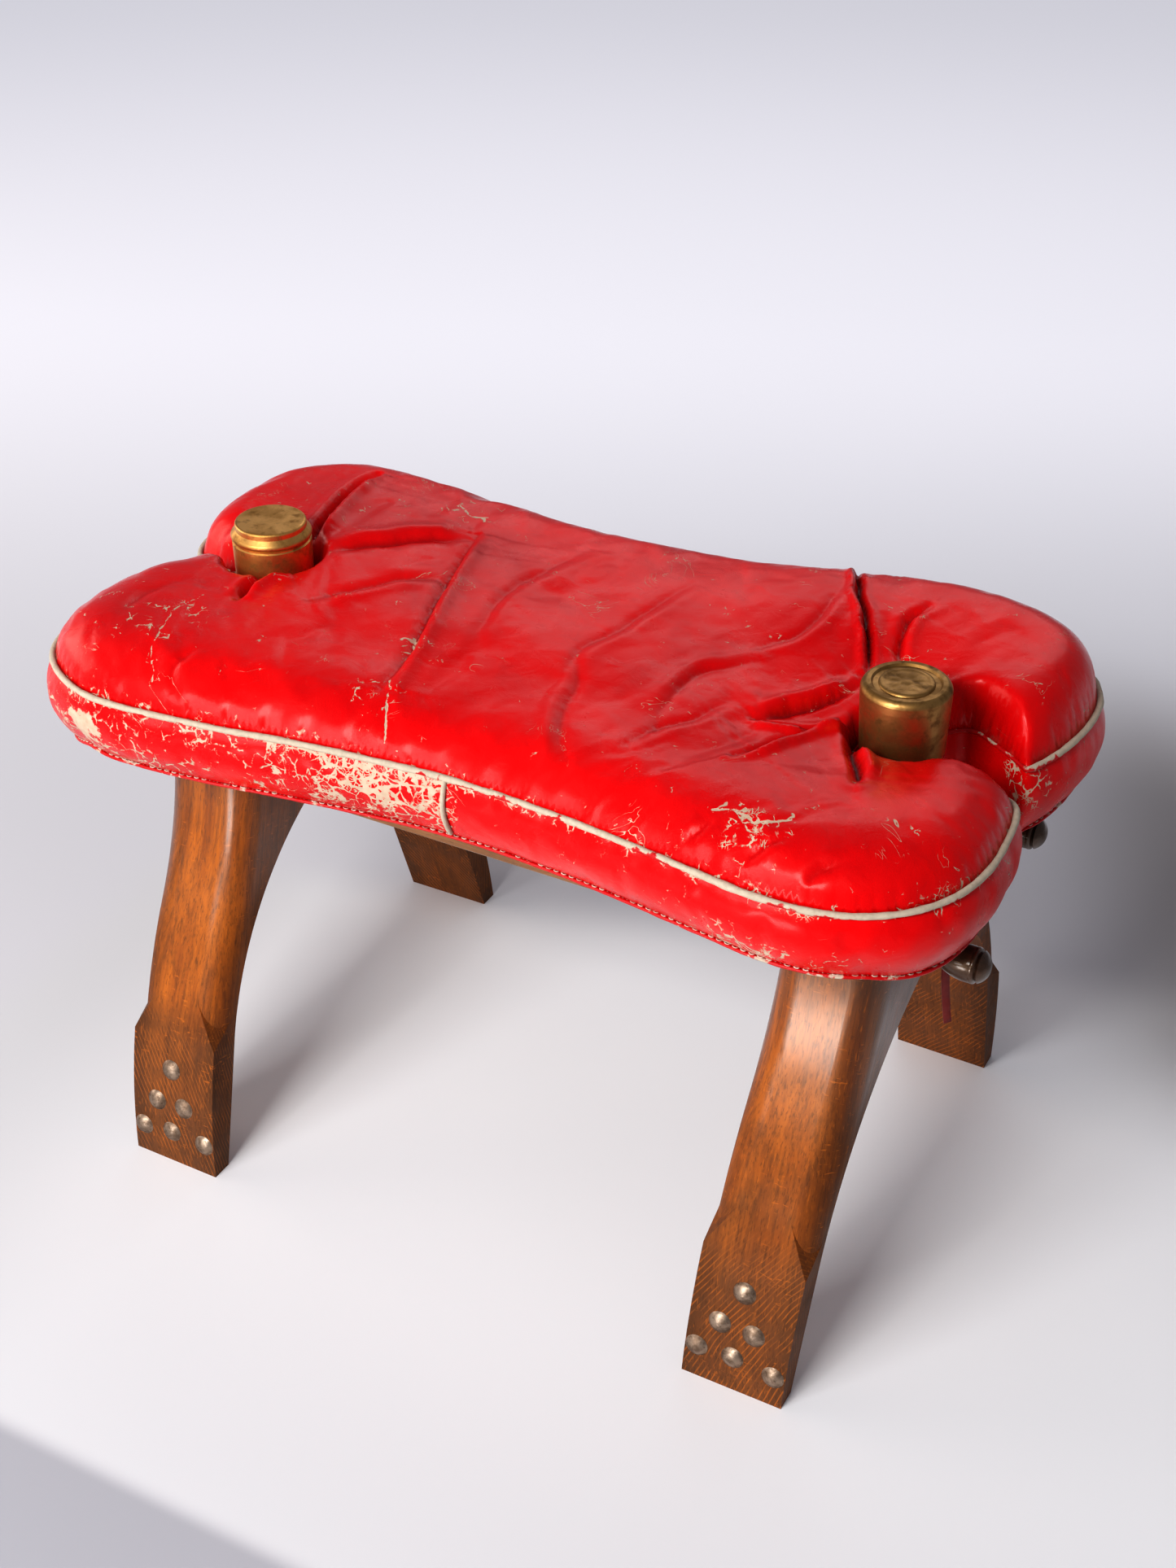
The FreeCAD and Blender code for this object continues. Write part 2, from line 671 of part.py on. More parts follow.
def make_tie():
    """Thong that hangs free below the right end of the cushion, drawn as a round tube."""
    path = cord_path(TIE_ROUTE)
    radius = size("TieWidth / 2")
    start, heading = Vector(*TIE_ROUTE[0]), Vector(*TIE_ROUTE[1]) - Vector(*TIE_ROUTE[0])
    ring = Part.Wire([Part.Circle(start, heading, radius).toShape()])
    tube = path.makePipeShell([ring], True, True)
    swept = math.pi * radius ** 2 * path.Length
    print("tie: length %.1f mm, volume %.1f of %.1f mm3" % (path.Length, tube.Volume, swept))
    tie = doc.addObject("Part::Feature", "leather_tie")
    tie.Shape = tube
    tie.Placement = at()
    keep(tie, "leather_tie")


# ---------------------------------------------------------------- the stool

for side, end in CORNERS:
    make_leg(side, end)
    make_studs(side, end)
    make_finial(side, end)
for side in (LEFT, RIGHT):
    make_dowels(side)
    make_post(side)
make_lid_cap()
make_cup_cap()
for end in (FRONT, REAR):
    make_rod(end)
    make_rail(end)
make_rail_screws()
make_cushion()
make_tie()
doc.recompute()

faults = [item.Name for item in doc.Objects if "Invalid" in item.State or "Error" in item.State]
faults += [node.Label for node in nodes if node.Shape.isNull() or not node.Shape.isValid()]
if faults:
    raise SystemExit("failed: " + ", ".join(faults))

os.makedirs("parts", exist_ok=True)
for node in nodes:
    node.Shape.exportStep("parts/%s.step" % node.Label)
    solids = len(node.Shape.Solids)
    print("%-20s %2d solids %10.0f mm3" % (node.Label, solids, node.Shape.Volume))
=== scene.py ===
"""Looks for the camel-saddle stool: its leather cushion, wood, brass and studs.

The wood, brass and screws keep their CAD shapes and get materials. The cushion's
leather is built here. Lengths are millimetres until a mesh is made, and then metres.
"""
import math
import random

import bpy
import numpy as np
from mathutils import Matrix, Vector, noise
from mathutils.geometry import delaunay_2d_cdt
from mathutils.kdtree import KDTree


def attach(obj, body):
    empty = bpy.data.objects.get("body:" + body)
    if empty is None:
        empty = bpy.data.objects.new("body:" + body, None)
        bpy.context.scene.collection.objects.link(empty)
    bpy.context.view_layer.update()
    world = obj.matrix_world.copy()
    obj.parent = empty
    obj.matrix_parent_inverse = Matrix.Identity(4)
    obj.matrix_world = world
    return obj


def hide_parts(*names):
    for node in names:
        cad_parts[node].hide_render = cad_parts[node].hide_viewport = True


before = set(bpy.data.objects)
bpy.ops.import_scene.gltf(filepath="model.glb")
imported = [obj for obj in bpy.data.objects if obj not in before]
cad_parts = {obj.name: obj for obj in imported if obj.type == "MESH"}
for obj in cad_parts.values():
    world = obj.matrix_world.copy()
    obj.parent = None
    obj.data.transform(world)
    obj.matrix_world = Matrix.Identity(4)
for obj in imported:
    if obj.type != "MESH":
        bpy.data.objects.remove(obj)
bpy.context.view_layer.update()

MM = 0.001
random.seed(7)

# Places and sizes that several pieces share, in mm.
PIPING_Z = 369.0
SEAM_Z = 322.0
BOTTOM_Z = 312.0
SEAM_SAG, BOTTOM_SAG = 9.0, 5.6     # at the cushion's ends, which nothing holds up
LEATHER = 1.4                       # its thickness
POST_X = 232.0
POCKET_RADIUS = 30.0
DISH_Z = 425.6                      # the right cap's top, inside its rim
TIE_WIDTH, TIE_THICKNESS = 5.2, 1.6
RING_GAP = 0.0031                   # between the growth rings on the feet, in metres


# ---------------- camera, lights, floor

def make_camera():
    azimuth, elevation, roll = (math.radians(angle) for angle in (29.008, 33.268, -0.562))
    back = Vector((math.sin(azimuth) * math.cos(elevation),
                   -math.cos(azimuth) * math.cos(elevation), math.sin(elevation)))
    level = Vector((math.cos(azimuth), math.sin(azimuth), 0))
    rising = back.cross(level)
    right = level * math.cos(roll) + rising * math.sin(roll)
    up = rising * math.cos(roll) - level * math.sin(roll)
    data = bpy.data.cameras.new("camera")
    data.lens, data.sensor_width = 49.5, 36.0
    camera = bpy.data.objects.new("camera", data)
    place = Matrix((right, up, back)).transposed().to_4x4()
    place.translation = Vector((0.60157, -1.05966, 1.08165))
    camera.matrix_world = place
    bpy.context.scene.collection.objects.link(camera)
    bpy.context.scene.camera = camera


def make_light(name, place, target, size, power, colour=(1, 1, 1)):
    data = bpy.data.lights.new(name, "AREA")
    data.shape = "RECTANGLE"
    data.size, data.size_y = size
    data.energy, data.color = power, colour
    light = bpy.data.objects.new(name, data)
    light.location = place
    light.rotation_euler = (Vector(target) - Vector(place)).to_track_quat("-Z", "Y").to_euler()
    light.visible_camera = False
    bpy.context.scene.collection.objects.link(light)


def make_studio():
    make_light("key", (-0.15, -2.6, 2.35), (0.0, 0.05, 0.25), (1.0, 0.9), 60, (1.0, 0.985, 0.96))
    make_light("window", (-0.80, -2.1, 1.35), (0.1, 0, 0.3), (0.8, 1.3), 25, (0.99, 0.99, 1.0))
    make_light("low_window", (-0.20, -1.6, 0.17), (0.0, 0.0, 0.2), (0.5, 0.32), 7, (1.0, 1.0, 1.0))
    make_light("fill", (-2.7, -0.5, 1.0), (0, 0, 0.1), (2.0, 1.2), 20, (1.0, 0.88, 0.79))
    make_light("back", (-0.5, 2.3, 1.8), (0, 0, 0.3), (2.4, 0.7), 8, (1.0, 0.97, 0.97))
    world = bpy.data.worlds.new("studio")
    world.use_nodes = True
    background = world.node_tree.nodes["Background"]
    background.inputs["Color"].default_value = (0.83, 0.85, 0.95, 1)
    background.inputs["Strength"].default_value = 0.23
    bpy.context.scene.world = world
    settings = bpy.context.scene.view_settings
    settings.view_transform, settings.look = "Standard", "Medium High Contrast"


def make_floor():
    reach = 7.0
    mesh = bpy.data.meshes.new("floor")
    mesh.from_pydata([(-reach, -reach, 0), (reach, -reach, 0), (reach, reach, 0), (-reach, reach, 0)],
                     [], [(0, 1, 2, 3)])
    floor = bpy.data.objects.new("floor", mesh)
    bpy.context.scene.collection.objects.link(floor)
    look = Look("floor_cloth", {"Roughness": 0.85, "Specular IOR Level": 0.2})
    x, y, _ = look.parts(look.place)
    # the pale table that the stool stands on, and the cloth round it
    left = look.step(x, -0.50, -0.42)
    front = look.step(y, -0.445, -0.425)
    back = look.step(look.minus(look.times_plus(x, 0.27, 0.235), y), -0.035, 0.035)
    table = look.times(look.times(left, front), back)
    cloth = look.mix(front, (0.44, 0.44, 0.48), (0.67, 0.665, 0.70))
    # painted shade: the floor is darker towards the front and towards the left
    near = look.mix(look.step(y, -0.44, -0.12), (0.72, 0.72, 0.745), (0.86, 0.855, 0.875))
    near = look.mix(look.step(x, -0.18, -0.42, 0, 0.75), near, (0.60, 0.60, 0.62))
    ground = look.mix(table, cloth, near)
    # painted shadow of the stool: a dark zone on the floor behind it, on the right
    painted_shadow = look.times(look.step(look.times_plus(y, 0.45, x), 0.38, 0.56), look.step(y, 0.86, 0.62))
    painted_shadow = look.times(painted_shadow, look.step(y, 0.12, 0.30))
    look.colour(look.over(ground, (0.26, 0.235, 0.23), painted_shadow, 0.75))
    # painted light: the floor glows, more the farther back it lies, standing for a lit backdrop
    far = look.step(look.times_plus(x, -0.4, y), 0.25, 1.7, 0.0, 0.38)
    look.put(look.shader.inputs["Emission Color"], (0.93, 0.92, 1.0))
    look.put(look.shader.inputs["Emission Strength"], far)
    mesh.materials.append(look.material)


# ---------------- node materials

class Look:
    """A node material, built up round its Principled shader."""

    def __init__(self, name, sockets):
        self.material = bpy.data.materials.new(name)
        self.material.use_nodes = True
        self.tree = self.material.node_tree
        self.shader = self.tree.nodes["Principled BSDF"]
        for socket, value in sockets.items():
            self.shader.inputs[socket].default_value = value
        self.place = self.add("ShaderNodeTexCoord").outputs["Object"]

    def add(self, kind, inputs=(), **properties):
        node = self.tree.nodes.new(kind)
        for name, value in properties.items():
            setattr(node, name, value)
        for socket, value in dict(inputs).items():
            self.put(node.inputs[socket], value)
        return node

    def put(self, socket, value):
        if isinstance(value, bpy.types.NodeSocket):
            self.tree.links.new(value, socket)
        elif isinstance(value, tuple) and len(value) == 3 and socket.type == "RGBA":
            socket.default_value = (*value, 1)
        else:
            socket.default_value = value

    def math(self, operation, *values):
        node = self.add("ShaderNodeMath", operation=operation)
        for number, value in enumerate(values):
            self.put(node.inputs[number], value)
        return node.outputs[0]

    def plus(self, first, second):
        return self.math("ADD", first, second)

    def minus(self, first, second):
        return self.math("SUBTRACT", first, second)

    def times(self, first, second):
        return self.math("MULTIPLY", first, second)

    def times_plus(self, first, second, third):
        return self.math("MULTIPLY_ADD", first, second, third)

    def size(self, value):
        return self.math("ABSOLUTE", value)

    def step(self, value, low, high, to_low=0.0, to_high=1.0):
        """Smooth step from to_low to to_high as value goes from low to high."""
        node = self.add("ShaderNodeMapRange", {0: value, 1: low, 2: high, 3: to_low, 4: to_high},
                        interpolation_type="SMOOTHSTEP", clamp=True)
        return node.outputs[0]

    def mix(self, factor, first, second):
        return self.add("ShaderNodeMix", {0: factor, 6: first, 7: second}, data_type="RGBA").outputs[2]

    def over(self, tone, other, mask, share):
        """The tone, brought towards another by a share of the mask."""
        return self.mix(self.times(mask, share), tone, other)

    def parts(self, vector):
        return self.add("ShaderNodeSeparateXYZ", {0: vector}).outputs

    def vector(self, x, y, z):
        return self.add("ShaderNodeCombineXYZ", {0: x, 1: y, 2: z}).outputs[0]

    def moved(self, vector, scale=(1, 1, 1), turn=(0, 0, 0)):
        return self.add("ShaderNodeMapping", {0: vector, 2: turn, 3: scale}).outputs[0]

    def noise(self, scale, detail=2.0, distortion=0.0, at=None, rough=0.5):
        return self.add("ShaderNodeTexNoise", {"Vector": at or self.place, "Scale": scale, "Detail": detail,
                                               "Roughness": rough, "Distortion": distortion}).outputs["Fac"]

    def cracks(self, scale, at=None):
        """Distance to the nearest edge between the cells of a random net."""
        return self.add("ShaderNodeTexVoronoi", {"Vector": at or self.place, "Scale": scale},
                        feature="DISTANCE_TO_EDGE").outputs["Distance"]

    def warped(self, scale, amount, at=None):
        """The place, shaken by a noise, so that lines read from it wander."""
        at = at or self.place

        def vector_math(operation, inputs):
            return self.add("ShaderNodeVectorMath", inputs, operation=operation).outputs[0]
        shake = self.add("ShaderNodeTexNoise", {"Vector": at, "Scale": scale, "Detail": 3.0})
        centred = vector_math("SUBTRACT", {0: shake.outputs["Color"], 1: (0.5, 0.5, 0.5)})
        return vector_math("ADD", {0: at, 1: vector_math("SCALE", {0: centred, "Scale": amount})})

    def mask(self, name):
        return self.add("ShaderNodeAttribute", attribute_name=name).outputs["Fac"]

    def colour(self, value):
        self.put(self.shader.inputs["Base Color"], value)

    def rough(self, value):
        self.put(self.shader.inputs["Roughness"], value)

    def bump(self, height, distance, strength=1.0):
        """Adds a bump on top of any before it. The distance is in metres."""
        node = self.add("ShaderNodeBump", {"Strength": strength, "Distance": distance, "Height": height})
        before = self.shader.inputs["Normal"].links
        if before:
            self.tree.links.new(before[0].from_socket, node.inputs["Normal"])
        self.tree.links.new(node.outputs[0], self.shader.inputs["Normal"])


def red_leather():
    look = Look("red_leather", {"Coat Weight": 0.18, "Coat Roughness": 0.2, "Specular IOR Level": 0.4,
                                "Specular Tint": (1.0, 0.10, 0.09, 1.0)})
    wear, bare, split, fold_shade = (look.mask(name) for name in ("wear", "bare", "split", "fold_shade"))
    # paint loss: nets of fine cracks that widen with wear, torn flakes, and sparse hairlines
    torn_way = look.warped(130, 0.007, look.warped(45, 0.012))
    coarse, fine = look.cracks(120, torn_way), look.cracks(290, look.warped(160, 0.006))
    uneven = look.step(look.noise(70, 4, rough=0.65), 0.3, 0.7, -0.075, 0.06)
    streaks = []
    for cracks, widening, ragged, spread, closed, opened in (
            (coarse, 0.13, look.noise(75, 6, 0.6, rough=0.68), 0.30, 0.62, 0.68),
            (fine, 0.11, look.noise(48, 4), 0.25, 0.70, 0.76)):
        net = look.step(look.minus(look.times_plus(wear, widening, uneven), cracks), 0.0, 0.03)
        open_area = look.step(look.plus(ragged, look.times(wear, spread)), closed, opened)
        streaks.append(look.times(net, open_area))
    flakes = look.step(look.plus(look.noise(130, 5, rough=0.7), look.times(wear, 0.12)), 0.735, 0.755)
    torn = look.step(look.plus(look.noise(90, 5, rough=0.7), look.times(bare, 0.60)), 0.93, 0.99)
    line = look.step(look.plus(split, look.times(look.noise(210, 4), 0.42)), 1.04, 1.10)
    stray = look.size(look.minus(look.noise(16, 4, 1.6, rough=0.62), 0.5))
    hair = look.times(look.step(stray, 0.0028, 0.0008), look.step(look.noise(23, 3), 0.585, 0.64))
    loss = look.math("MAXIMUM", *streaks)
    for part in (flakes, torn, line, hair):
        loss = look.math("MAXIMUM", loss, part)
    red = look.mix(look.step(look.noise(9, 3), 0.35, 0.65), (0.58, 0.0012, 0.003), (0.74, 0.0016, 0.003))
    grime = look.step(look.noise(38, 4), 0.60, 0.74)
    red = look.over(red, (0.28, 0.004, 0.006), grime, 0.18)
    # painted shade: the red is darkened deep in the folds
    red = look.over(red, (0.11, 0.002, 0.003), fold_shade, 0.9)
    pale = look.mix(look.noise(210, 3), (0.68, 0.56, 0.42), (0.44, 0.30, 0.20))
    look.colour(look.mix(loss, red, pale))
    smear = look.step(look.noise(30, 4), 0.3, 0.7, 0.24, 0.42)
    look.rough(look.math("MAXIMUM", smear, look.times(loss, 0.85)))
    look.bump(look.noise(62, 3, 0.8), 0.0011, 0.55)
    look.bump(look.cracks(1150, look.warped(400, 0.0012)), 0.00022, 0.5)
    look.bump(look.minus(1.0, loss), 0.0004, 0.6)
    return look.material


def underside_leather():
    look = Look("underside_leather", {"Specular IOR Level": 0.3})
    tone = look.mix(look.noise(22, 5), (0.10, 0.028, 0.018), (0.17, 0.05, 0.032))
    look.colour(look.mix(look.step(look.noise(150, 5), 0.62, 0.72), tone, (0.27, 0.15, 0.10)))
    look.rough(look.step(look.noise(60, 3), 0.3, 0.7, 0.66, 0.86))
    look.bump(look.noise(700, 4), 0.0003, 0.6)
    return look.material


def worn_piping():
    look = Look("worn_piping", {"Specular IOR Level": 0.3})
    kept = look.step(look.plus(look.noise(85, 4, rough=0.6), look.mask("paint")), 0.60, 0.66)
    pale = look.mix(look.noise(320, 4), (0.64, 0.55, 0.43), (0.40, 0.32, 0.23))
    look.colour(look.mix(kept, pale, (0.50, 0.002, 0.004)))
    look.rough(look.minus(0.82, look.times(kept, 0.42)))
    look.bump(look.noise(520, 4), 0.0005, 0.8)
    return look.material


def tie_leather(pale):
    red, bare = ((0.12, 0.008, 0.007), (0.21, 0.015, 0.011)), ((0.50, 0.30, 0.20), (0.36, 0.2, 0.13))
    look = Look("tie_cut_end" if pale else "tie_leather", {"Specular IOR Level": 0.4})
    look.colour(look.mix(look.noise(260, 4), *(bare if pale else red)))
    look.rough(look.step(look.noise(90, 3), 0.3, 0.7, 0.5, 0.72))
    look.bump(look.noise(900, 3), 0.0002, 0.6)
    return look.material


def thread():
    look = Look("thread", {"Specular IOR Level": 0.3})
    look.colour(look.mix(look.noise(420, 3), (0.70, 0.60, 0.50), (0.42, 0.30, 0.24)))
    look.rough(look.step(look.noise(300, 2), 0.3, 0.7, 0.7, 0.85))
    look.bump(look.noise(1500, 2), 0.0002, 0.7)
    return look.material


def wood(name, light, middle, dark, gloss, worn, lean=17.3, edge=1.0, lengthwise=False):
    """Stained beech, with its grain along a leg that leans, mirrored in y, or along x.

    Edge is how strongly the feet's dark rims and crossing flecks show.
    """
    look = Look(name, {"Coat Roughness": gloss, "Specular IOR Level": 0.6,
                       "Specular Tint": (1.0, 0.62, 0.36, 1.0)})
    x, y, z = look.parts(look.place)
    off_middle, across = look.size(y), look.size(x)
    board = look.vector(z, y, x) if lengthwise else look.vector(x, off_middle, z)
    board = look.moved(board, turn=(math.radians(-lean), 0, 0))

    def along_grain(scale, detail=2, distortion=0.0, rough=0.5, turn=(0, 0, 0)):
        return look.noise(1.0, detail, distortion, look.moved(board, scale, turn), rough)

    # on the feet the rings show as thin light lines that slant up and outwards
    slanting = look.times_plus(off_middle, 1.2, look.times_plus(across, 0.82, look.times(z, -0.2)))
    wobble = look.noise(11, 2)
    phase = look.times(look.times_plus(wobble, 0.014, slanting), 2 * math.pi / RING_GAP)
    lines = look.step(look.math("SINE", phase), 0.55, 1.0)
    lines = look.times(lines, look.step(look.noise(60, 3), 0.36, 0.6))
    # rays: short dark dashes along the grain, paler ones between them, and pale ones across
    flecks = look.step(along_grain((1000, 1000, 170)), 0.55, 0.68)
    pale_flecks = look.step(along_grain((800, 800, 110)), 0.60, 0.72)
    crossing = along_grain((150, 150, 620), distortion=0.6, turn=(0, math.radians(24), 0))
    crossing = look.times(look.step(crossing, 0.62, 0.72), look.step(look.noise(38, 2), 0.46, 0.62))
    from_middle = look.size(look.minus(across, 0.2216))
    rim = look.times(look.step(look.times_plus(look.noise(40, 4), 0.02, from_middle), 0.024, 0.046), edge)
    streak = along_grain((75, 75, 5), 5, rough=0.6)
    fibre = along_grain((420, 420, 16), 4, rough=0.65)
    low = look.step(look.times_plus(wobble, 0.05, z), 0.165, 0.095)
    bright = tuple(min(1, c * 1.5) for c in light)
    tone = look.mix(look.step(streak, 0.32, 0.68), middle, light)
    tone = look.mix(look.step(fibre, 0.40, 0.70, 0, 0.5), tone, dark)
    tone = look.mix(look.step(look.noise(13, 4, 0.4), 0.42, 0.70, 0, 0.5), tone, dark)
    for other, mask, share in ((worn, low, 0.7), (dark, rim, 0.52), (dark, flecks, 0.45),
                               (bright, pale_flecks, 0.22), (bright, crossing, look.times(edge, 0.42)),
                               (bright, lines, look.times(low, 0.34))):
        tone = look.over(tone, other, mask, share)
    nicks = look.step(look.noise(120, 5, rough=0.7), 0.745, 0.765)
    look.colour(look.mix(nicks, tone, tuple(min(1, c * 2.6) for c in light)))
    # the legs are polished above the feet, and dull on them
    polished = look.step(look.times_plus(wobble, 0.03, z), 0.175, 0.235)
    look.put(look.shader.inputs["Coat Weight"], look.times(polished, 0.6))
    rough = look.step(look.noise(24, 4), 0.3, 0.7, 0.58, 0.74)
    look.rough(look.times_plus(polished, -0.27, rough))
    look.bump(flecks, 0.00012, 0.4)
    look.bump(along_grain((160, 160, 14), 3), 0.0004, 0.4)
    look.bump(look.noise(34, 3), 0.0012, 0.35)
    return look.material


def metal(name, bright, dull, rough, patina, scale=45):
    look = Look(name, {"Metallic": 1.0})
    cloud = look.noise(scale, 5, 0.5, rough=0.62)
    stain = look.step(look.noise(scale * 3.1, 4), 0.52, 0.72)
    tone = look.mix(look.step(cloud, 0.36, 0.64), bright, dull)
    look.colour(look.over(tone, patina, stain, 0.6))
    look.rough(look.plus(look.step(cloud, 0.3, 0.7, rough - 0.07, rough + 0.12), look.times(stain, 0.12)))
    look.bump(look.noise(scale * 9, 4), 0.0002, 0.35)
    look.bump(look.noise(scale, 3), 0.0006, 0.3)
    return look.material


# ---------------- lines and meshes

def arc(first, leave, last, arrive, shares):
    """Points of a smooth curve between two places, with the ways in which it leaves and arrives."""
    return [(2 * t**3 - 3 * t**2 + 1) * first + (t**3 - 2 * t**2 + t) * leave
            + (3 * t**2 - 2 * t**3) * last + (t**3 - t**2) * arrive for t in shares]


def smooth_loop(points, corner, spacing):
    """Evenly spaced points on a smooth closed line through the given ones, one of them a corner."""
    points = np.array(points, float)
    count = len(points)
    dense = []
    for number in range(count):
        first, last = points[number], points[(number + 1) % count]
        chord = last - first
        length = np.linalg.norm(chord)

        def heading(index):
            if index == corner:
                return chord / length
            around = points[(index + 1) % count] - points[index - 1]
            return around / np.linalg.norm(around)
        dense += arc(first, heading(number) * length, last, heading((number + 1) % count) * length,
                     np.arange(0, 1, 0.4 / length))
    return resample(np.array(dense), spacing)


def resample(line, spacing):
    """Evenly spaced points on a closed line."""
    closed = np.vstack([line, line[:1]])
    run = np.concatenate([[0], np.cumsum(np.linalg.norm(np.diff(closed, axis=0), axis=1))])
    stops = np.linspace(0, run[-1], round(run[-1] / spacing) + 1)[:-1]
    return np.column_stack([np.interp(stops, run, closed[:, axis]) for axis in range(closed.shape[1])])


def loop_normals(line):
    """Outward unit normals of a closed line that runs anticlockwise."""
    along = np.roll(line, -1, 0) - np.roll(line, 1, 0)
    out = np.column_stack([along[:, 1], -along[:, 0]])
    return out / np.maximum(np.linalg.norm(out, axis=1, keepdims=True), 1e-9)


def averaged(values, turns):
    """Smooths values along a closed line."""
    for _ in range(turns):
        values = (np.roll(values, 1, 0) + values * 2 + np.roll(values, -1, 0)) / 4
    return values


def unit(vectors):
    return vectors / np.linalg.norm(vectors, axis=1, keepdims=True)


def distance_to(line, points):
    """Distance from points to an open line, the share of the line passed, and the side (+ is left)."""
    line, points = np.array(line, float), np.asarray(points, float)
    lengths = np.linalg.norm(np.diff(line, axis=0), axis=1)
    total, run = lengths.sum(), 0.0
    nearest = np.full(len(points), 1e9)
    share, side = np.zeros(len(points)), np.ones(len(points))
    for first, last, length in zip(line, line[1:], lengths):
        way = (last - first) / length
        offset = points - first
        t = np.clip(offset @ way, 0, length)
        gap = offset - t[:, None] * way
        distance = np.linalg.norm(gap, axis=1)
        closer = distance < nearest
        nearest[closer] = distance[closer]
        share[closer] = ((run + t) / total)[closer]
        side[closer] = np.sign(way[0] * offset[:, 1] - way[1] * offset[:, 0])[closer]
        run += length
    return nearest, share, side


def ramp(value, low, high):
    t = np.clip((value - low) / (high - low), 0, 1)
    return t * t * (3 - 2 * t)


def rolling(points, scale, seed=0.0):
    """Smooth noise, about -1 to 1, at points in mm; scale is its length in mm."""
    return np.array([noise.noise(Vector((p[0] / scale + seed, p[1] / scale - seed,
                                         (p[2] if len(p) > 2 else 0) / scale + 0.37))) for p in points])


def mesh_piece(name, vertices, faces, material=None, body="cushion", masks=None):
    """A smooth mesh object from vertices in mm. With a material it rides on a body."""
    mesh = bpy.data.meshes.new(name)
    mesh.from_pydata([tuple(v) for v in np.asarray(vertices, float) * MM], [], [tuple(f) for f in faces])
    mesh.validate()
    mesh.update()
    mesh.shade_smooth()
    for key, values in (masks or {}).items():
        mesh.attributes.new(key, "FLOAT", "POINT").data.foreach_set("value", np.asarray(values, np.float32))
    piece = bpy.data.objects.new(name, mesh)
    bpy.context.scene.collection.objects.link(piece)
    if material:
        mesh.materials.append(material)
        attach(piece, body)
    return piece


def evaluated(piece):
    graph = bpy.context.evaluated_depsgraph_get()
    return bpy.data.meshes.new_from_object(piece.evaluated_get(graph))


def apply_modifiers(piece):
    mesh = evaluated(piece)
    piece.modifiers.clear()
    piece.data = mesh


def subdivide(piece, levels):
    finer = piece.modifiers.new("finer", "SUBSURF")
    finer.levels = finer.render_levels = levels
    return finer


def coordinates(mesh):
    place = np.empty(len(mesh.vertices) * 3)
    mesh.vertices.foreach_get("co", place)
    return place.reshape(-1, 3)


def ring_faces(count, sides, closed=True):
    """Faces of a tube of rings: a closed loop, or with its two ends capped."""
    gaps = count if closed else count - 1
    faces = [(r * sides + s, r * sides + (s + 1) % sides, (r + 1) % count * sides + (s + 1) % sides,
              (r + 1) % count * sides + s) for r in range(gaps) for s in range(sides)]
    if not closed:
        faces += [tuple(reversed(range(sides))), tuple(range((count - 1) * sides, count * sides))]
    return faces


def tube(line, radii, outward, sides, flat=1.0, closed=True):
    """Rings round a line, with outward giving each ring's first direction."""
    before = np.roll(line, 1, 0) if closed else np.vstack([line[:1], line[:-1]])
    after = np.roll(line, -1, 0) if closed else np.vstack([line[1:], line[-1:]])
    along = unit(after - before)
    first = unit(outward - (outward * along).sum(1, keepdims=True) * along)
    second = np.cross(along, first)
    angles = np.arange(sides) * 2 * math.pi / sides
    rings = (line[:, None] + radii[:, None, None] * (np.cos(angles)[None, :, None] * first[:, None]
             + flat * np.sin(angles)[None, :, None] * second[:, None])).reshape(-1, 3)
    return rings, ring_faces(len(line), sides, closed)


# ---------------- leather tie

def make_tie():
    route = [(283, -38, 311.5), (283, -38.5, 291), (285, -37, 266), (286.5, -38, 240), (290, -37, 215)]
    curve = bpy.data.curves.new("tie_route", "CURVE")
    curve.dimensions, curve.resolution_u = "3D", 12
    spline = curve.splines.new("NURBS")
    spline.points.add(len(route) - 1)
    for point, place in zip(spline.points, route):
        point.co = (*(Vector(place) * MM), 1)
    spline.order_u, spline.use_endpoint_u = 3, True
    holder = bpy.data.objects.new("tie_route", curve)
    bpy.context.scene.collection.objects.link(holder)
    bpy.context.view_layer.update()
    line = coordinates(bpy.data.meshes.new_from_object(holder)) / MM
    bpy.data.objects.remove(holder)

    # a flat thong: points round its section, turned a little more on the way down
    w, t, edge = TIE_WIDTH / 2, TIE_THICKNESS / 2, 0.45
    section = [(w, t - edge), (w - edge, t), (0, t * 1.08), (edge - w, t), (-w, t - edge),
               (-w, edge - t), (edge - w, -t), (0, -t * 0.94), (w - edge, -t), (w, edge - t)]
    vertices, count = [], len(line)
    for number, centre in enumerate(line):
        along = Vector(line[min(number + 1, count - 1)] - line[max(number - 1, 0)]).normalized()
        turn = math.radians(24 + 22 * number / count)
        wide = Vector((math.cos(turn), math.sin(turn), 0))
        wide = (wide - along * wide.dot(along)).normalized()
        thick = along.cross(wide)
        vertices += [Vector(centre) + wide * a + thick * b for a, b in section]
    faces = ring_faces(count, len(section), closed=False)
    tie = mesh_piece("hanging_tie", vertices, faces, tie_leather(False))
    tie.data.materials.append(tie_leather(True))
    tie.data.polygons[-1].material_index = 1
    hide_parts("leather_tie")


# ---------------- cushion: outline and height

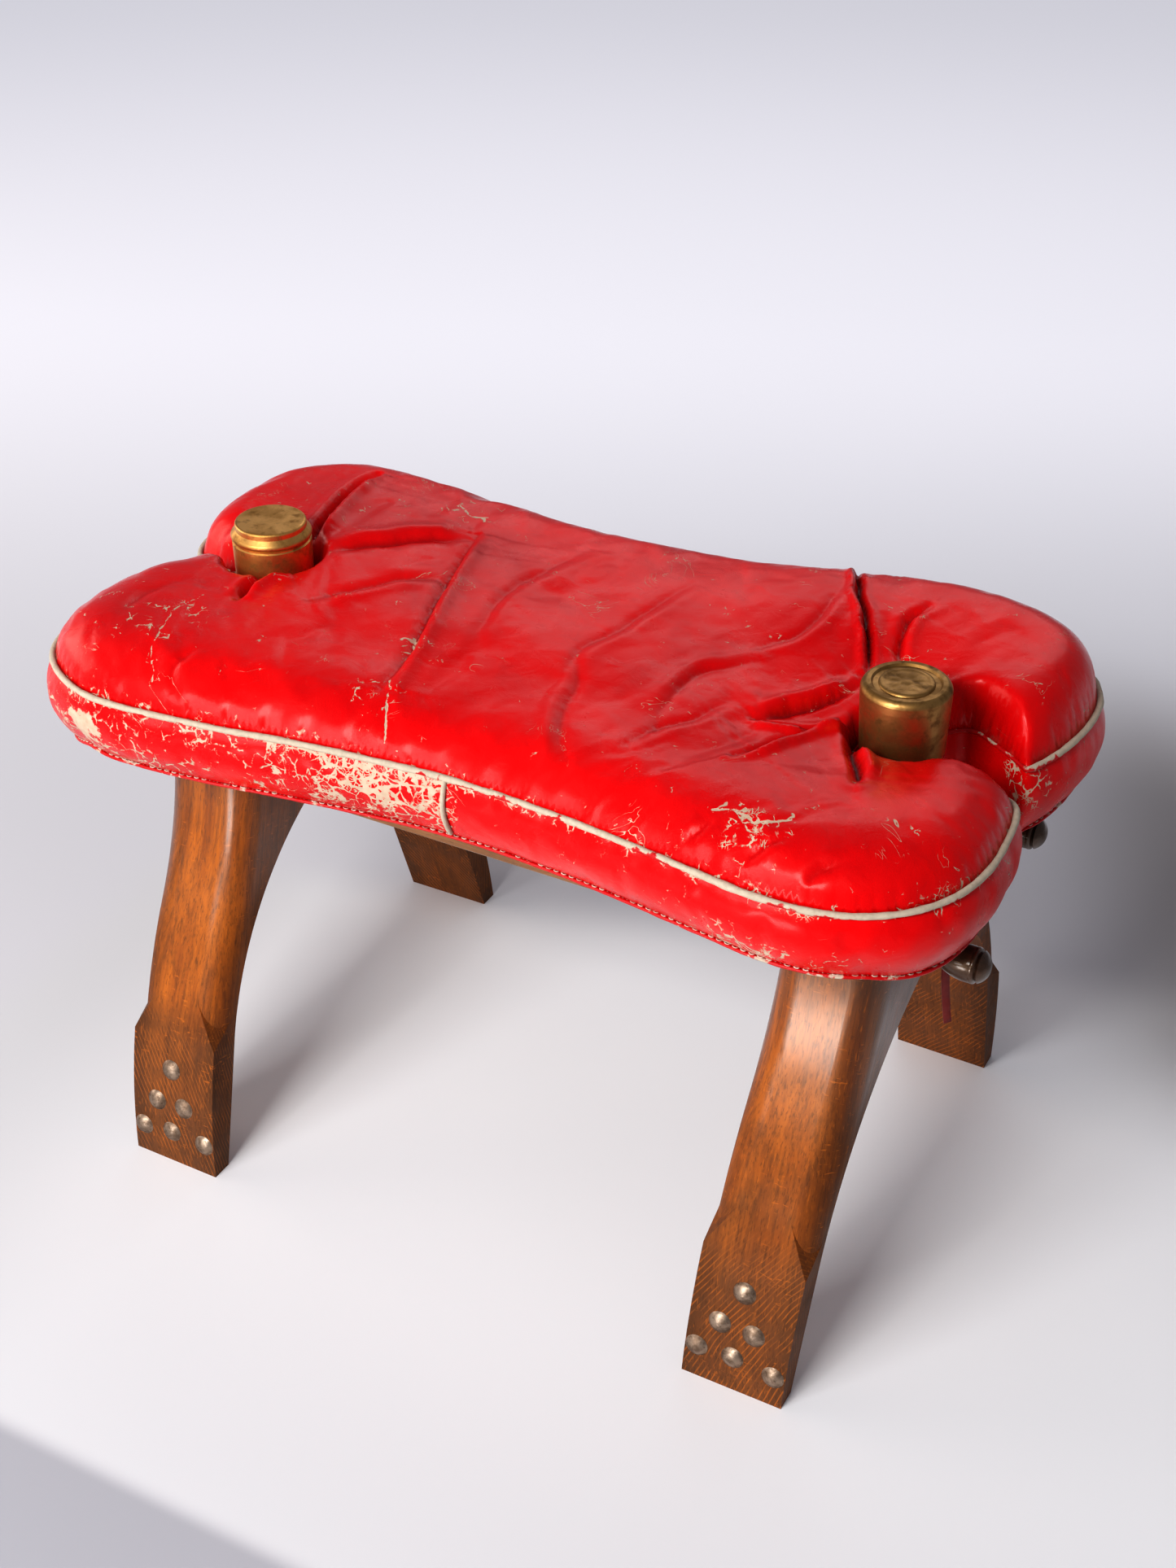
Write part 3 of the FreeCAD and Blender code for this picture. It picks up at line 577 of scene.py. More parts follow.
def cushion_outline():
    """The cushion from above at the piping, anticlockwise from the left notch's front side."""
    def round_post(side, start, end):
        step = 30 if end > start else -30
        return [(side * POST_X + POCKET_RADIUS * math.cos(math.radians(a)),
                 POCKET_RADIUS * math.sin(math.radians(a))) for a in range(start, end + step, step)]

    front = [(-280, -9), (-299, -12), (-316, -31), (-327, -66), (-328, -102), (-319, -132), (-297, -154),
             (-262, -169), (-225, -170), (-175, -165), (-120, -156), (-60, -148), (0, -144),
             (60, -146.5), (120, -153), (175, -161), (215, -166), (255, -162), (288, -144),
             (309, -116), (317, -85), (317, -54), (311, -18), (299, -7), (280, -7)]
    rear = [(243, 43), (257, 55), (275, 47), (303, 28), (314, 60), (319, 98), (315, 130), (299, 156),
            (268, 174), (225, 182), (180, 180), (120, 171), (60, 162), (0, 157), (-60, 157), (-120, 161),
            (-175, 167), (-225, 171), (-262, 168), (-295, 153), (-316, 130), (-325, 101), (-327, 60),
            (-314, 22), (-282, 11)]
    right_post = round_post(1, -30, -270)
    left_post = round_post(-1, 150, -150)
    corner = len(front) + len(right_post) + 3
    return smooth_loop(front + right_post + rear + left_post, corner, 1.0)


CROWN = [  # x, y, rise above the piping
    (-270, -100, 34), (-270, 100, 36), (-185, 0, 36), (-225, -70, 35), (-225, 75, 36), (-120, -90, 31),
    (-100, 0, 35), (0, 0, 34), (-60, 110, 34), (0, -95, 27), (60, 110, 35), (120, 120, 40), (100, 0, 32),
    (100, -90, 27), (165, 0, 27), (198, 0, 22), (232, -52, 24), (232, 55, 28), (265, -105, 32),
    (262, 115, 44), (190, -110, 31), (190, 125, 45), (300, -60, 29), (300, 85, 40), (-305, -60, 33),
    (-305, 60, 33),
]

# Folds in the top: points, depth, half width, lean, and the share over which each end fades. Above 0 the
# lean raises the leather on the left of the way, and below 0 on the right.
FOLDS = [
    ([(-119, 88), (-108, 38), (-97, -2), (-81, -55), (-74, -87), (-70, -112)], 4.4, 4.2, 0.9, 0.25),
    ([(-202, -18), (-214, -30), (-216, -44), (-214, -66)], 9.5, 3.8, 0.2, 0.3),
    ([(-218, 24), (-230, 67), (-235, 103), (-235, 136)], 10.0, 4.4, -0.3, 0.25),
    ([(-170, -47), (-144, -7), (-131, 12), (-110, 20)], 2.6, 6.0, -0.8, 0.3),
    ([(-198, 14), (-178, 40), (-150, 66), (-124, 78)], 3.4, 6.0, 0.7, 0.3),
    ([(190, 48), (171, 88), (151, 123), (134, 160)], 8.0, 2.4, 0.45, 0.2),
    ([(203, 6), (190, -13), (179, -38), (167, -61), (156, -78)], 7.0, 3.4, 0.7, 0.25),
    ([(190, 36), (182, 20), (173, 7), (160, -8), (150, -30)], 5.0, 3.6, -0.7, 0.3),
    ([(206, -14), (213, -34), (226, -55), (232, -72)], 8.0, 3.6, 0.4, 0.25),
    ([(200, -8), (183, -20), (166, -28), (146, -32)], 5.0, 3.2, 0.7, 0.3),
    ([(127, -25), (117, -53), (103, -71), (94, -98)], 1.7, 4.4, 0.8, 0.4),
    ([(126, 27), (110, 10), (96, -9), (95, -48), (99, -68)], 1.6, 4.6, -0.9, 0.4),
    ([(47, 89), (38, 57), (29, 14), (20, -16), (24, -56)], 1.5, 5.0, 0.8, 0.4),
    ([(16, -18), (35, -50), (42, -82), (61, -116), (71, -124)], 1.4, 4.4, -0.6, 0.4),
    ([(140, 117), (139, 78), (131, 55), (116, 35)], 1.8, 4.4, 0.8, 0.4),
    ([(205, 58), (196, 84), (193, 104), (199, 124)], 4.6, 3.4, -0.3, 0.3),
    ([(-40, 104), (-52, 60), (-58, 20), (-50, -22)], 1.4, 6.0, 0.7, 0.4),
    ([(-260, -60), (-272, -88), (-268, -118)], 1.6, 6.0, 0.3, 0.4),
    ([(155, -160), (167, -148), (172, -138)], 1.6, 3.0, 0.3, 0.4),
    ([(200, -163), (207, -150), (219, -140)], 2.0, 3.0, -0.3, 0.4),
    ([(236, -165), (243, -152), (256, -143)], 1.8, 3.2, 0.3, 0.4),
    ([(-196, -164), (-203, -148), (-196, -130)], 1.5, 3.8, -0.3, 0.4),
]

# Split lines in the leather: points, how strong.
SPLITS = [
    ([(-70, -102), (-59, -124), (-50, -141)], 0.83),
    ([(-84, -50), (-78, -62), (-76, -72)], 1.0),
    ([(-236, -75), (-240, -95), (-238, -109), (-227, -138), (-214, -160)], 0.8),
    ([(-238, -100), (-222, -108), (-208, -112)], 0.7),
    ([(-240, -95), (-258, -102), (-270, -112)], 0.66),
    ([(168, -134), (184, -133), (199, -137), (216, -128)], 0.95),
    ([(187, -128), (194, -140), (204, -143)], 0.8),
    ([(96, -104), (104, -112), (110, -122)], 0.7),
    ([(-152, 118), (-140, 108), (-128, 112)], 0.9),
    ([(-212, 96), (-190, 92), (-172, 84)], 0.7),
    ([(-118, 60), (-112, 36), (-104, 14)], 0.62),
    ([(186, 60), (178, 76), (170, 92)], 0.62),
    ([(-250, -26), (-232, -36), (-216, -44)], 0.72),
]


def wandering(line, seed, amount=1.3, spacing=2.2):
    """A smooth open line through points that strays a little from side to side."""
    line = np.array(line, float)
    dense = []
    for number in range(len(line) - 1):
        first, last = line[number], line[number + 1]
        leave = (last - line[number - 1]) / 2 if number else last - first
        arrive = (line[number + 2] - first) / 2 if number + 2 < len(line) else last - first
        steps = max(2, round(np.linalg.norm(last - first) / spacing))
        dense += arc(first, leave, last, arrive, np.arange(steps) / steps)
    dense = np.array(dense + [line[-1]])
    slow = np.column_stack([rolling(dense, 14, seed), rolling(dense, 14, seed + 40)])
    quick = np.column_stack([rolling(dense, 5, seed + 9), rolling(dense, 5, seed + 60)])
    return dense + amount * slow + 0.5 * amount * quick


def branched(lines):
    """Split lines with short random side branches."""
    found = []
    for number, (line, strength) in enumerate(lines):
        main = wandering(line, number * 3.1, 2.2)
        found.append((main, strength))
        for _ in range(max(2, len(main) // 6)):
            start = random.randrange(1, len(main) - 1)
            way = main[start] - main[start - 1]
            turn = math.atan2(way[1], way[0]) + random.choice((-1, 1)) * random.uniform(0.6, 1.4)
            length = random.uniform(4, 11)
            branch = [main[start] + np.array([math.cos(turn + bend), math.sin(turn + bend)]) * length * t
                      for t, bend in ((0, 0), (0.4, 0.1), (0.75, -0.2), (1, 0.15))]
            found.append((wandering(branch, number + start, 0.6), strength * random.uniform(0.78, 0.95)))
    return found


def crown_rise(points):
    """Height of the stuffed top above the piping, away from its edges."""
    anchors = np.array(CROWN, float)
    gap = np.linalg.norm(points[:, None, :2] - anchors[None, :, :2], axis=2)
    weight = np.exp(-(gap / 55.0) ** 2) + 1e-6
    return (weight * anchors[None, :, 2]).sum(1) / weight.sum(1)


def roll_off(gap, reach):
    """From 0 at an edge to 1 at reach, rising steeply from the edge."""
    u = np.clip(gap / reach, 0, 1)
    return (1 - (1 - u) ** 2.3) ** 0.62


def in_notch(points):
    """Whether points of the outline are on the sides of a notch or round a post."""
    x, y = points[:, 0], points[:, 1]
    within, half_width, flare = 302, 33, 60
    return (np.abs(x) < within) & ((np.abs(y) < half_width) | ((x > POST_X) & (y > 0) & (y < flare)))


def tree_of(points):
    tree = KDTree(len(points))
    for number, point in enumerate(points):
        tree.insert((point[0], point[1], 0), number)
    tree.balance()
    return tree


def gaps_to(tree, points):
    """How far each point is from the nearest one of a tree, seen from above."""
    return np.array([tree.find((p[0], p[1], 0))[2] for p in points])


class Edges:
    """Distances from points to the cushion's outer edge and to the edge inside its notches."""

    def __init__(self, outline):
        inner = in_notch(outline)
        self.trees = [tree_of(outline[~inner]), tree_of(outline[inner])]

    def gaps(self, points):
        return [gaps_to(tree, points) for tree in self.trees]


def inside(outline, points):
    """Whether points are inside a closed line."""
    found = np.zeros(len(points), bool)
    for (x1, y1), (x2, y2) in zip(outline, np.roll(outline, -1, 0)):
        crosses = (y1 > points[:, 1]) != (y2 > points[:, 1])
        with np.errstate(divide="ignore", invalid="ignore"):
            found ^= crosses & (points[:, 0] < (x2 - x1) * (points[:, 1] - y1) / (y2 - y1) + x1)
    return found


def filled(rim, outline, spacing, margin, lines=()):
    """Points and triangles that fill a closed rim with a hexagonal net, closer along some lines."""
    between_lines, beside_lines = 1.7, 2.4
    xs = np.arange(-340, 340, spacing)
    rows = np.arange(-180, 180, spacing * 0.866)
    net = np.array([(x + (spacing / 2 if row % 2 else 0), y) for row, y in enumerate(rows) for x in xs])
    fence = tree_of(outline)

    def well_inside(points):
        points = points[inside(outline, points)]
        return points[gaps_to(fence, points) > margin]
    kept = np.empty((0, 2))
    for line in lines:
        line = well_inside(line)
        if len(kept) and len(line):
            line = line[gaps_to(tree_of(kept), line) > between_lines]
        kept = np.vstack([kept, line])
    net = well_inside(net)
    if len(kept):
        net = net[gaps_to(tree_of(kept), net) > beside_lines]
    points = np.vstack([rim, kept, net])
    result = delaunay_2d_cdt([Vector(p) for p in points], [], [list(range(len(rim)))], 1, 1e-5)
    faces, origin = result[2:4]
    index = [o[0] if o else None for o in origin]
    if None in index:
        raise RuntimeError("the cushion's outline crosses itself")
    return points, [tuple(index[v] for v in face) for face in faces]


def overhang(places):
    """From 0 over the frame to 1 at the ends, where nothing is under the cushion."""
    return ramp(np.abs(places[:, 0]), 272, 306) * np.where(places[:, 0] < 0, 1.0, 0.55)


def band_profile(share, places):
    """Outward bulge and inward draw of the side band, from the piping down to the bottom seam."""
    bulge = 8.5 + 3.0 * overhang(places)
    return bulge * math.sin(math.pi * share) ** 0.85 * (1 - 0.15 * share) - 7.0 * share ** 1.3


# the lines as they run in the leather
FOLDS = [(wandering(line, number * 2.7), *rest) for number, (line, *rest) in enumerate(FOLDS)]
SPLITS = branched(SPLITS)


class Cover:
    """The leather cover as one closed net: top, side band and bottom."""

    ROWS = 13

    def __init__(self):
        fine = cushion_outline()
        self.edges = Edges(fine)
        rim = resample(fine, 4.4)
        self.count = len(rim)
        notch = averaged(in_notch(rim).astype(float), 6)
        normal = unit(averaged(loop_normals(rim), 3))

        top, self.top_faces = filled(rim, fine, 4.8, 3.0, [line for line, *_ in FOLDS + SPLITS])
        self.top = np.column_stack([top, self.height(top)])
        self.top[:self.count, 2] = PIPING_Z

        rows = []
        for share in np.arange(self.ROWS) / (self.ROWS - 1):
            out = band_profile(share, rim) * (1 - notch) + 0.8 * math.sin(math.pi * share) * notch
            place = rim + normal * out[:, None]
            seam_z = SEAM_Z - SEAM_SAG * overhang(rim)
            rows.append(np.column_stack([place, PIPING_Z + (seam_z - PIPING_Z) * share]))
        self.rows = np.array(rows)

        seam = self.rows[-1][:, :2]
        low, self.low_faces = filled(seam, seam, 11.0, 5.0)
        reach = np.array([np.min(np.linalg.norm(seam - p, axis=1)) for p in low])
        sag = overhang(low)
        drop = (SEAM_Z - BOTTOM_Z - BOTTOM_SAG * sag) * ramp(reach, 0, 17) ** 0.8
        self.low = np.column_stack([low, SEAM_Z - SEAM_SAG * sag - drop])

    def height(self, points):
        outer, inner = self.edges.gaps(points)
        reach = 50 - 16 * ramp(points[:, 1], -10, 60)
        return PIPING_Z + crown_rise(points) * roll_off(outer, reach) * roll_off(inner, 9)

    def at(self, row, number):
        """The number of a vertex of the band, whose first row is the top's rim."""
        number %= self.count
        return number if row == 0 else len(self.top) + (row - 1) * self.count + number

    def start_of(self, face):
        """Number along the rim of a band face's first vertex."""
        return face[0] if face[0] < self.count else (face[0] - len(self.top)) % self.count

    def indexed(self):
        """All vertices, and each part's faces over them."""
        last_row = self.at(self.ROWS - 1, 0)
        band = [(self.at(row, n), self.at(row + 1, n), self.at(row + 1, n + 1), self.at(row, n + 1))
                for row in range(self.ROWS - 1) for n in range(self.count)]
        vertices = np.vstack([self.top, *self.rows[1:], self.low[self.count:]])
        low = [tuple(last_row + v for v in reversed(face)) for face in self.low_faces]
        return vertices, self.top_faces, band, low


def puffed(vertices, faces, held):
    """Cloth under pressure: how far each vertex moves, with the held ones fixed."""
    piece = mesh_piece("cover_in_the_making", vertices, faces)
    group = piece.vertex_groups.new(name="held")
    group.add([int(number) for number in np.nonzero(held)[0]], 1.0, "REPLACE")
    settings = piece.modifiers.new("cloth", "CLOTH").settings
    for name, value in {"quality": 6, "mass": 0.3, "air_damping": 4, "tension_stiffness": 18,
                        "compression_stiffness": 18, "shear_stiffness": 6, "bending_stiffness": 0.9,
                        "use_pressure": True, "uniform_pressure_force": 4, "shrink_min": -0.022,
                        "vertex_group_mass": "held"}.items():
        setattr(settings, name, value)
    settings.effector_weights.gravity = 0
    for number in range(1, 21):
        bpy.context.scene.frame_set(number)
    moved = coordinates(evaluated(piece)) / MM - vertices
    bpy.context.scene.frame_set(1)
    bpy.data.objects.remove(piece)
    return moved


def high_pass(values, faces, turns):
    """What is left of values over a net once their local average is taken away."""
    edges = {tuple(sorted(pair)) for face in faces for pair in zip(face, face[1:] + face[:1])}
    first, last = np.array(sorted(edges)).T
    degree = np.bincount(np.concatenate([first, last]), minlength=len(values)).astype(float)
    smooth = values.copy()
    for _ in range(turns):
        total = np.zeros_like(smooth)
        np.add.at(total, first, smooth[last])
        np.add.at(total, last, smooth[first])
        smooth = (smooth + total / np.maximum(degree, 1)[:, None]) / 2
    return values - smooth


def split_off(vertices, faces):
    """A panel of the cover, subdivided: its vertices in mm and its faces."""
    used = sorted({v for face in faces for v in face})
    renamed = {old: new for new, old in enumerate(used)}
    piece = mesh_piece("panel", vertices[used], [tuple(renamed[v] for v in face) for face in faces])
    subdivide(piece, 1).boundary_smooth = "PRESERVE_CORNERS"
    finer = evaluated(piece)
    bpy.data.objects.remove(piece)
    return coordinates(finer) / MM, [tuple(polygon.vertices) for polygon in finer.polygons]


def sculpt_folds(places, rise):
    """Presses the folds into the top, where it may rise, and returns how much painted shade each vertex
    gets in one.
    """
    shadow = np.zeros(len(places))
    for line, depth, width, lean, fade in FOLDS:
        gap, share, side = distance_to(line, places[:, :2])
        depth, width = 1.2 * depth, 0.8 * width
        near = gap < 110
        gap, share, side = gap[near], share[near], side[near]
        past_end = (share <= 0) | (share >= 1)
        ends = np.minimum(ramp(share, 0, fade), ramp(1 - share, 0, fade))
        ends = np.where(past_end, 0, 0.25 + 0.75 * ends)
        tip = np.exp(-(np.where(past_end, gap, 0) / width) ** 2)
        strength = np.maximum(ends, 0.25 * tip) * rise[near]
        pit = np.exp(-(gap / width) ** 1.6)
        lip = np.exp(-((gap - 2.3 * width) / (1.5 * width)) ** 2) * (1 + lean * side)
        broad = lean * side * np.tanh(gap / width) * np.exp(-(gap / 48) ** 1.5)
        places[near, 2] += strength * depth * (0.30 * lip - pit + 0.42 * broad)
        dark = strength * np.exp(-(gap / (0.55 * width)) ** 2) * min(1, depth / 7)
        shadow[near] = np.maximum(shadow[near], dark)
    return shadow


def split_mask(points):
    mask = np.zeros(len(points))
    for line, strength in SPLITS:
        gap = distance_to(line, points[:, :2])[0]
        mask = np.maximum(mask, min(1.0, 1.15 * strength) * np.clip(1 - gap / 6.0, 0, 1))
    return mask


def spots(points, rows):
    """Soft round masks added up. A row has a centre, a radius and an amount."""
    total = 0
    for centre, radius, amount in rows:
        gap = np.linalg.norm(points[:, :len(centre)] - centre, axis=1)
        total = total + amount * (1 - ramp(gap, radius * 0.35, radius))
    return total


def wear_of_band(places):
    x, y, z = places.T
    front = (y < -40) | ((x < -300) & (y < 20))
    left = front & (x < 6)
    wear = np.where(left, 0.36 + 0.14 * rolling(places, 30), 0.16 + 0.10 * rolling(places, 45))
    wear += np.where(left, 0.62 * np.exp(-((x + 52) / 60) ** 2) * ramp(z, 318, 350), 0)
    wear += np.where(left, 0.22 * np.exp(-((x + 262) / 40) ** 2) * ramp(356 - z, 0, 20), 0)
    wear += np.where(front & (x > 6), 0.42 * np.exp(-((x - 205) / 42) ** 2) * ramp(352 - z, 0, 22), 0)
    wear += 0.35 * ramp(z, 361, 369) * front + spots(places, [((303, 28, 360), 30, 0.55)])
    bare = spots(places, [((-266, -178, 345), 29, 0.95), ((-296, -163, 341), 18, 0.75),
                          ((-305, 12, 365), 22, 0.5), ((303, 28, 368), 14, 0.55)])
    bare += np.where(left, 0.34 * np.exp(-((x + 36) / 40) ** 2) * ramp(z, 335, 362), 0)
    return np.clip(wear, 0, 1), np.clip(bare, 0, 1)


def wear_of_top(places, outer, inner):
    wear = 0.08 + 0.10 * rolling(places, 60) + 0.30 * ramp(6 - outer, 0, 5) * (places[:, 1] < 0)
    wear += spots(places, [((-236, -112), 46, 0.22), ((-280, -120), 50, 0.14), ((194, -138), 26, 0.40),
                           ((-72, -116), 34, 0.20), ((-140, 112), 34, 0.26), ((-206, 92), 40, 0.20),
                           ((-80, -60), 20, 0.35), ((102, -112), 22, 0.25)])
    bare = 0.55 * ramp(4.5 - inner, 0, 4) * (places[:, 0] < -245) + spots(places, [((303, 28), 13, 0.5)])
    return np.clip(wear, 0, 1), np.clip(bare, 0, 1)


def leather_piece(name, places, faces, material, nodes, masks=None):
    """A padded panel with the leather's thickness on its inner side, standing for CAD nodes."""
    piece = mesh_piece(name, places, faces, material, masks=masks)
    thick = piece.modifiers.new("thickness", "SOLIDIFY")
    thick.thickness, thick.offset, thick.use_even_offset = LEATHER * MM, -1, False
    apply_modifiers(piece)
    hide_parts(*nodes)


def make_top(cover, vertices, faces, leather):
    places, polygons = split_off(vertices, faces)
    outer, inner = cover.edges.gaps(places)
    rise = ramp(outer, 0, 16) * ramp(inner, 0, 9)
    crumple = 2.6 * np.abs(rolling(places, 74, 3)) - 0.7 - 1.1 * np.abs(rolling(places, 33, 5))
    middle = 0.35 + 0.65 * ramp(215 - np.abs(places[:, 0]), 0, 60) * ramp(places[:, 1], -115, -50)
    swell = 1.2 * rolling(places, 62, 11) + 0.18 * rolling(places, 11, 8)
    places[:, 2] += rise * (0.6 * crumple * middle + swell)
    fold_shade = sculpt_folds(places, rise)
    wear, bare = wear_of_top(places, outer, inner)
    leather_piece("leather_top", places, polygons, leather,
                  ("top_panel", "cushion_stuffing"),
                  {"wear": wear, "bare": bare, "split": split_mask(places), "fold_shade": fold_shade})


def make_bands(cover, vertices, band, leather, front):
    """The side bands, parted at the front seam and inside the notches."""
    count, rim = cover.count, cover.rows[0]
    right, left = (min(range(count), key=lambda n: np.hypot(rim[n][0] - x, rim[n][1]))
                   for x in (POST_X - POCKET_RADIUS, POCKET_RADIUS - POST_X))
    for name, start, end in (("front_left_band", left, front), ("front_right_band", front, right),
                             ("rear_band", right, left)):
        length = (end - start) % count
        chosen = [face for face in band if (cover.start_of(face) - start) % count < length]
        places, polygons = split_off(vertices, chosen)
        share = (PIPING_Z - places[:, 2]) / (PIPING_Z - SEAM_Z)
        free = np.sin(math.pi * np.clip(share, 0, 1)) ** 0.5
        _, inner = cover.edges.gaps(places)
        ripple = 0.55 * rolling(places * [1, 1, 0.3], 11, 2) + 1.0 * rolling(places * [1, 1, 0.5], 34, 6)
        places[:, :2] += unit(places[:, :2]) * (ripple * free * ramp(inner, 4, 20))[:, None]
        wear, bare = wear_of_band(places)
        blank = np.zeros(len(places))
        leather_piece("leather_" + name, places, polygons, leather, (name,),
                      {"wear": wear, "bare": bare, "split": blank, "fold_shade": blank})


def make_cushion():
    cover = Cover()
    vertices, top, band, low = cover.indexed()
    held = np.zeros(len(vertices), bool)
    held[:cover.count] = held[cover.at(cover.ROWS - 1, 0):] = True
    faces = top + band + low
    wrinkle = high_pass(puffed(vertices, faces, held), faces, 14)
    most = np.linalg.norm(wrinkle, axis=1, keepdims=True)
    wrinkle *= 0.5 * np.minimum(1, 5.0 / np.maximum(most, 1e-6))
    _, inner = cover.edges.gaps(vertices)
    vertices = vertices + wrinkle * ramp(inner, 2, 14)[:, None]

    leather, rim, count = red_leather(), cover.rows[0], cover.count
    front = next(n for n in range(count) if rim[n][1] < 0 and rim[n][0] <= 0 < rim[(n + 1) % count][0])
    make_top(cover, vertices, top, leather)
    make_bands(cover, vertices, band, leather, front)
    places, polygons = split_off(vertices, low)
    leather_piece("leather_bottom", places, polygons, underside_leather(),
                  ("bottom_panel",))
    make_piping(cover, vertices, front)
    make_seam_stitches(cover)


def along_edge(row, spacing):
    """One of the band's rows, more closely spaced, its outward normals, and how far in a notch it is."""
    line = resample(row, spacing)
    normal = averaged(loop_normals(line[:, :2]), 2)
    normal = unit(np.column_stack([normal, np.zeros(len(normal))]))
    return line, normal, averaged(in_notch(line).astype(float), 8)


def make_piping(cover, vertices, front):
    """The worn cord round the top edge, and the one that stands up the front seam."""
    fine, normal, notch = along_edge(cover.rows[0], 2.2)
    radii = (2.15 - 0.7 * notch) * (1 + 0.20 * rolling(fine, 13, 4) + 0.12 * rolling(fine, 5, 9))
    line = fine + normal * (1.2 - 1.3 * notch)[:, None]
    line[:, 2] += 0.5 * rolling(fine, 40, 2) + 0.4
    sides = 12
    rings, faces = tube(line, radii, normal, sides)
    x, y = rings[:, 0], rings[:, 1]
    angle = np.tile(np.arange(sides), len(line)) * 2 * math.pi / sides
    paint = 0.02 + 0.08 * (y > 40) - 0.05 * ((x < -20) & (y < 0)) + 0.03 * ((x > 20) & (y < 0))
    paint = paint + 0.25 * np.repeat(notch, sides) + 0.16 * rolling(rings, 55, 1)
    paint = paint + 0.12 * np.cos(angle - math.pi / 2)
    material = worn_piping()
    piping = mesh_piece("piping_cord", rings, faces, material, masks={"paint": paint})
    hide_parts("top_piping")

    seam = np.array([vertices[cover.at(row, front)] for row in range(cover.ROWS - 1)])
    outward = np.tile((0.0, -1.0, 0.0), (len(seam), 1))
    seam = seam + outward * 0.7
    seam[:, 0] += 0.35 * rolling(seam, 9, 3)
    rings, faces = tube(seam, np.full(len(seam), 1.9), outward, 10, 0.9, closed=False)
    bead = mesh_piece("front_seam_cord", rings, faces, material,
                      masks={"paint": np.full(len(rings), -0.12)})
    subdivide(bead, 2)
    apply_modifiers(bead)
    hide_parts("front_seam_piping")


def make_seam_stitches(cover):
    """A thin welt along the bottom seam, and the saddler's stitches just above it."""
    seam, normal, notch = along_edge(cover.rows[-1], 2.4)
    line = seam + normal * (0.9 - 0.9 * notch)[:, None]
    line[:, 2] -= 0.6
    radii = (1.5 - 0.5 * notch) * (1 + 0.16 * rolling(seam, 8, 3))
    rings, faces = tube(line, radii, normal, 8, 0.8)
    mesh_piece("bottom_welt", rings, faces, worn_piping(),
               masks={"paint": 0.24 + 0.10 * rolling(rings, 26, 5)})

    vertices, faces = [], []
    row = resample(cover.rows[-1] * 0.86 + cover.rows[-2] * 0.14, 5.6)
    out = averaged(loop_normals(row[:, :2]), 2)
    for number in np.nonzero(~in_notch(row))[0]:
        first, last = row[number], row[(number + 1) % len(row)]
        outward = np.append(out[number], -0.35)
        outward /= np.linalg.norm(outward)
        start, stop = first + (last - first) * 0.10, first + (last - first) * 0.72
        lifts = ((0.0, -0.25), (0.18, 0.55), (0.5, 0.70), (0.82, 0.55), (1.0, -0.25))
        line = np.array([start + (stop - start) * t + outward * lift for t, lift in lifts])
        line[:, 2] += random.uniform(-0.35, 0.35)
        rings, sides = tube(line, np.full(5, 0.42), np.tile(outward, (5, 1)), 6, closed=False)
        faces += [tuple(v + len(vertices) for v in face) for face in sides]
        vertices += list(rings)
    mesh_piece("bottom_stitches", vertices, faces, thread())


# ---------------- brass rosette and the CAD parts' finishes

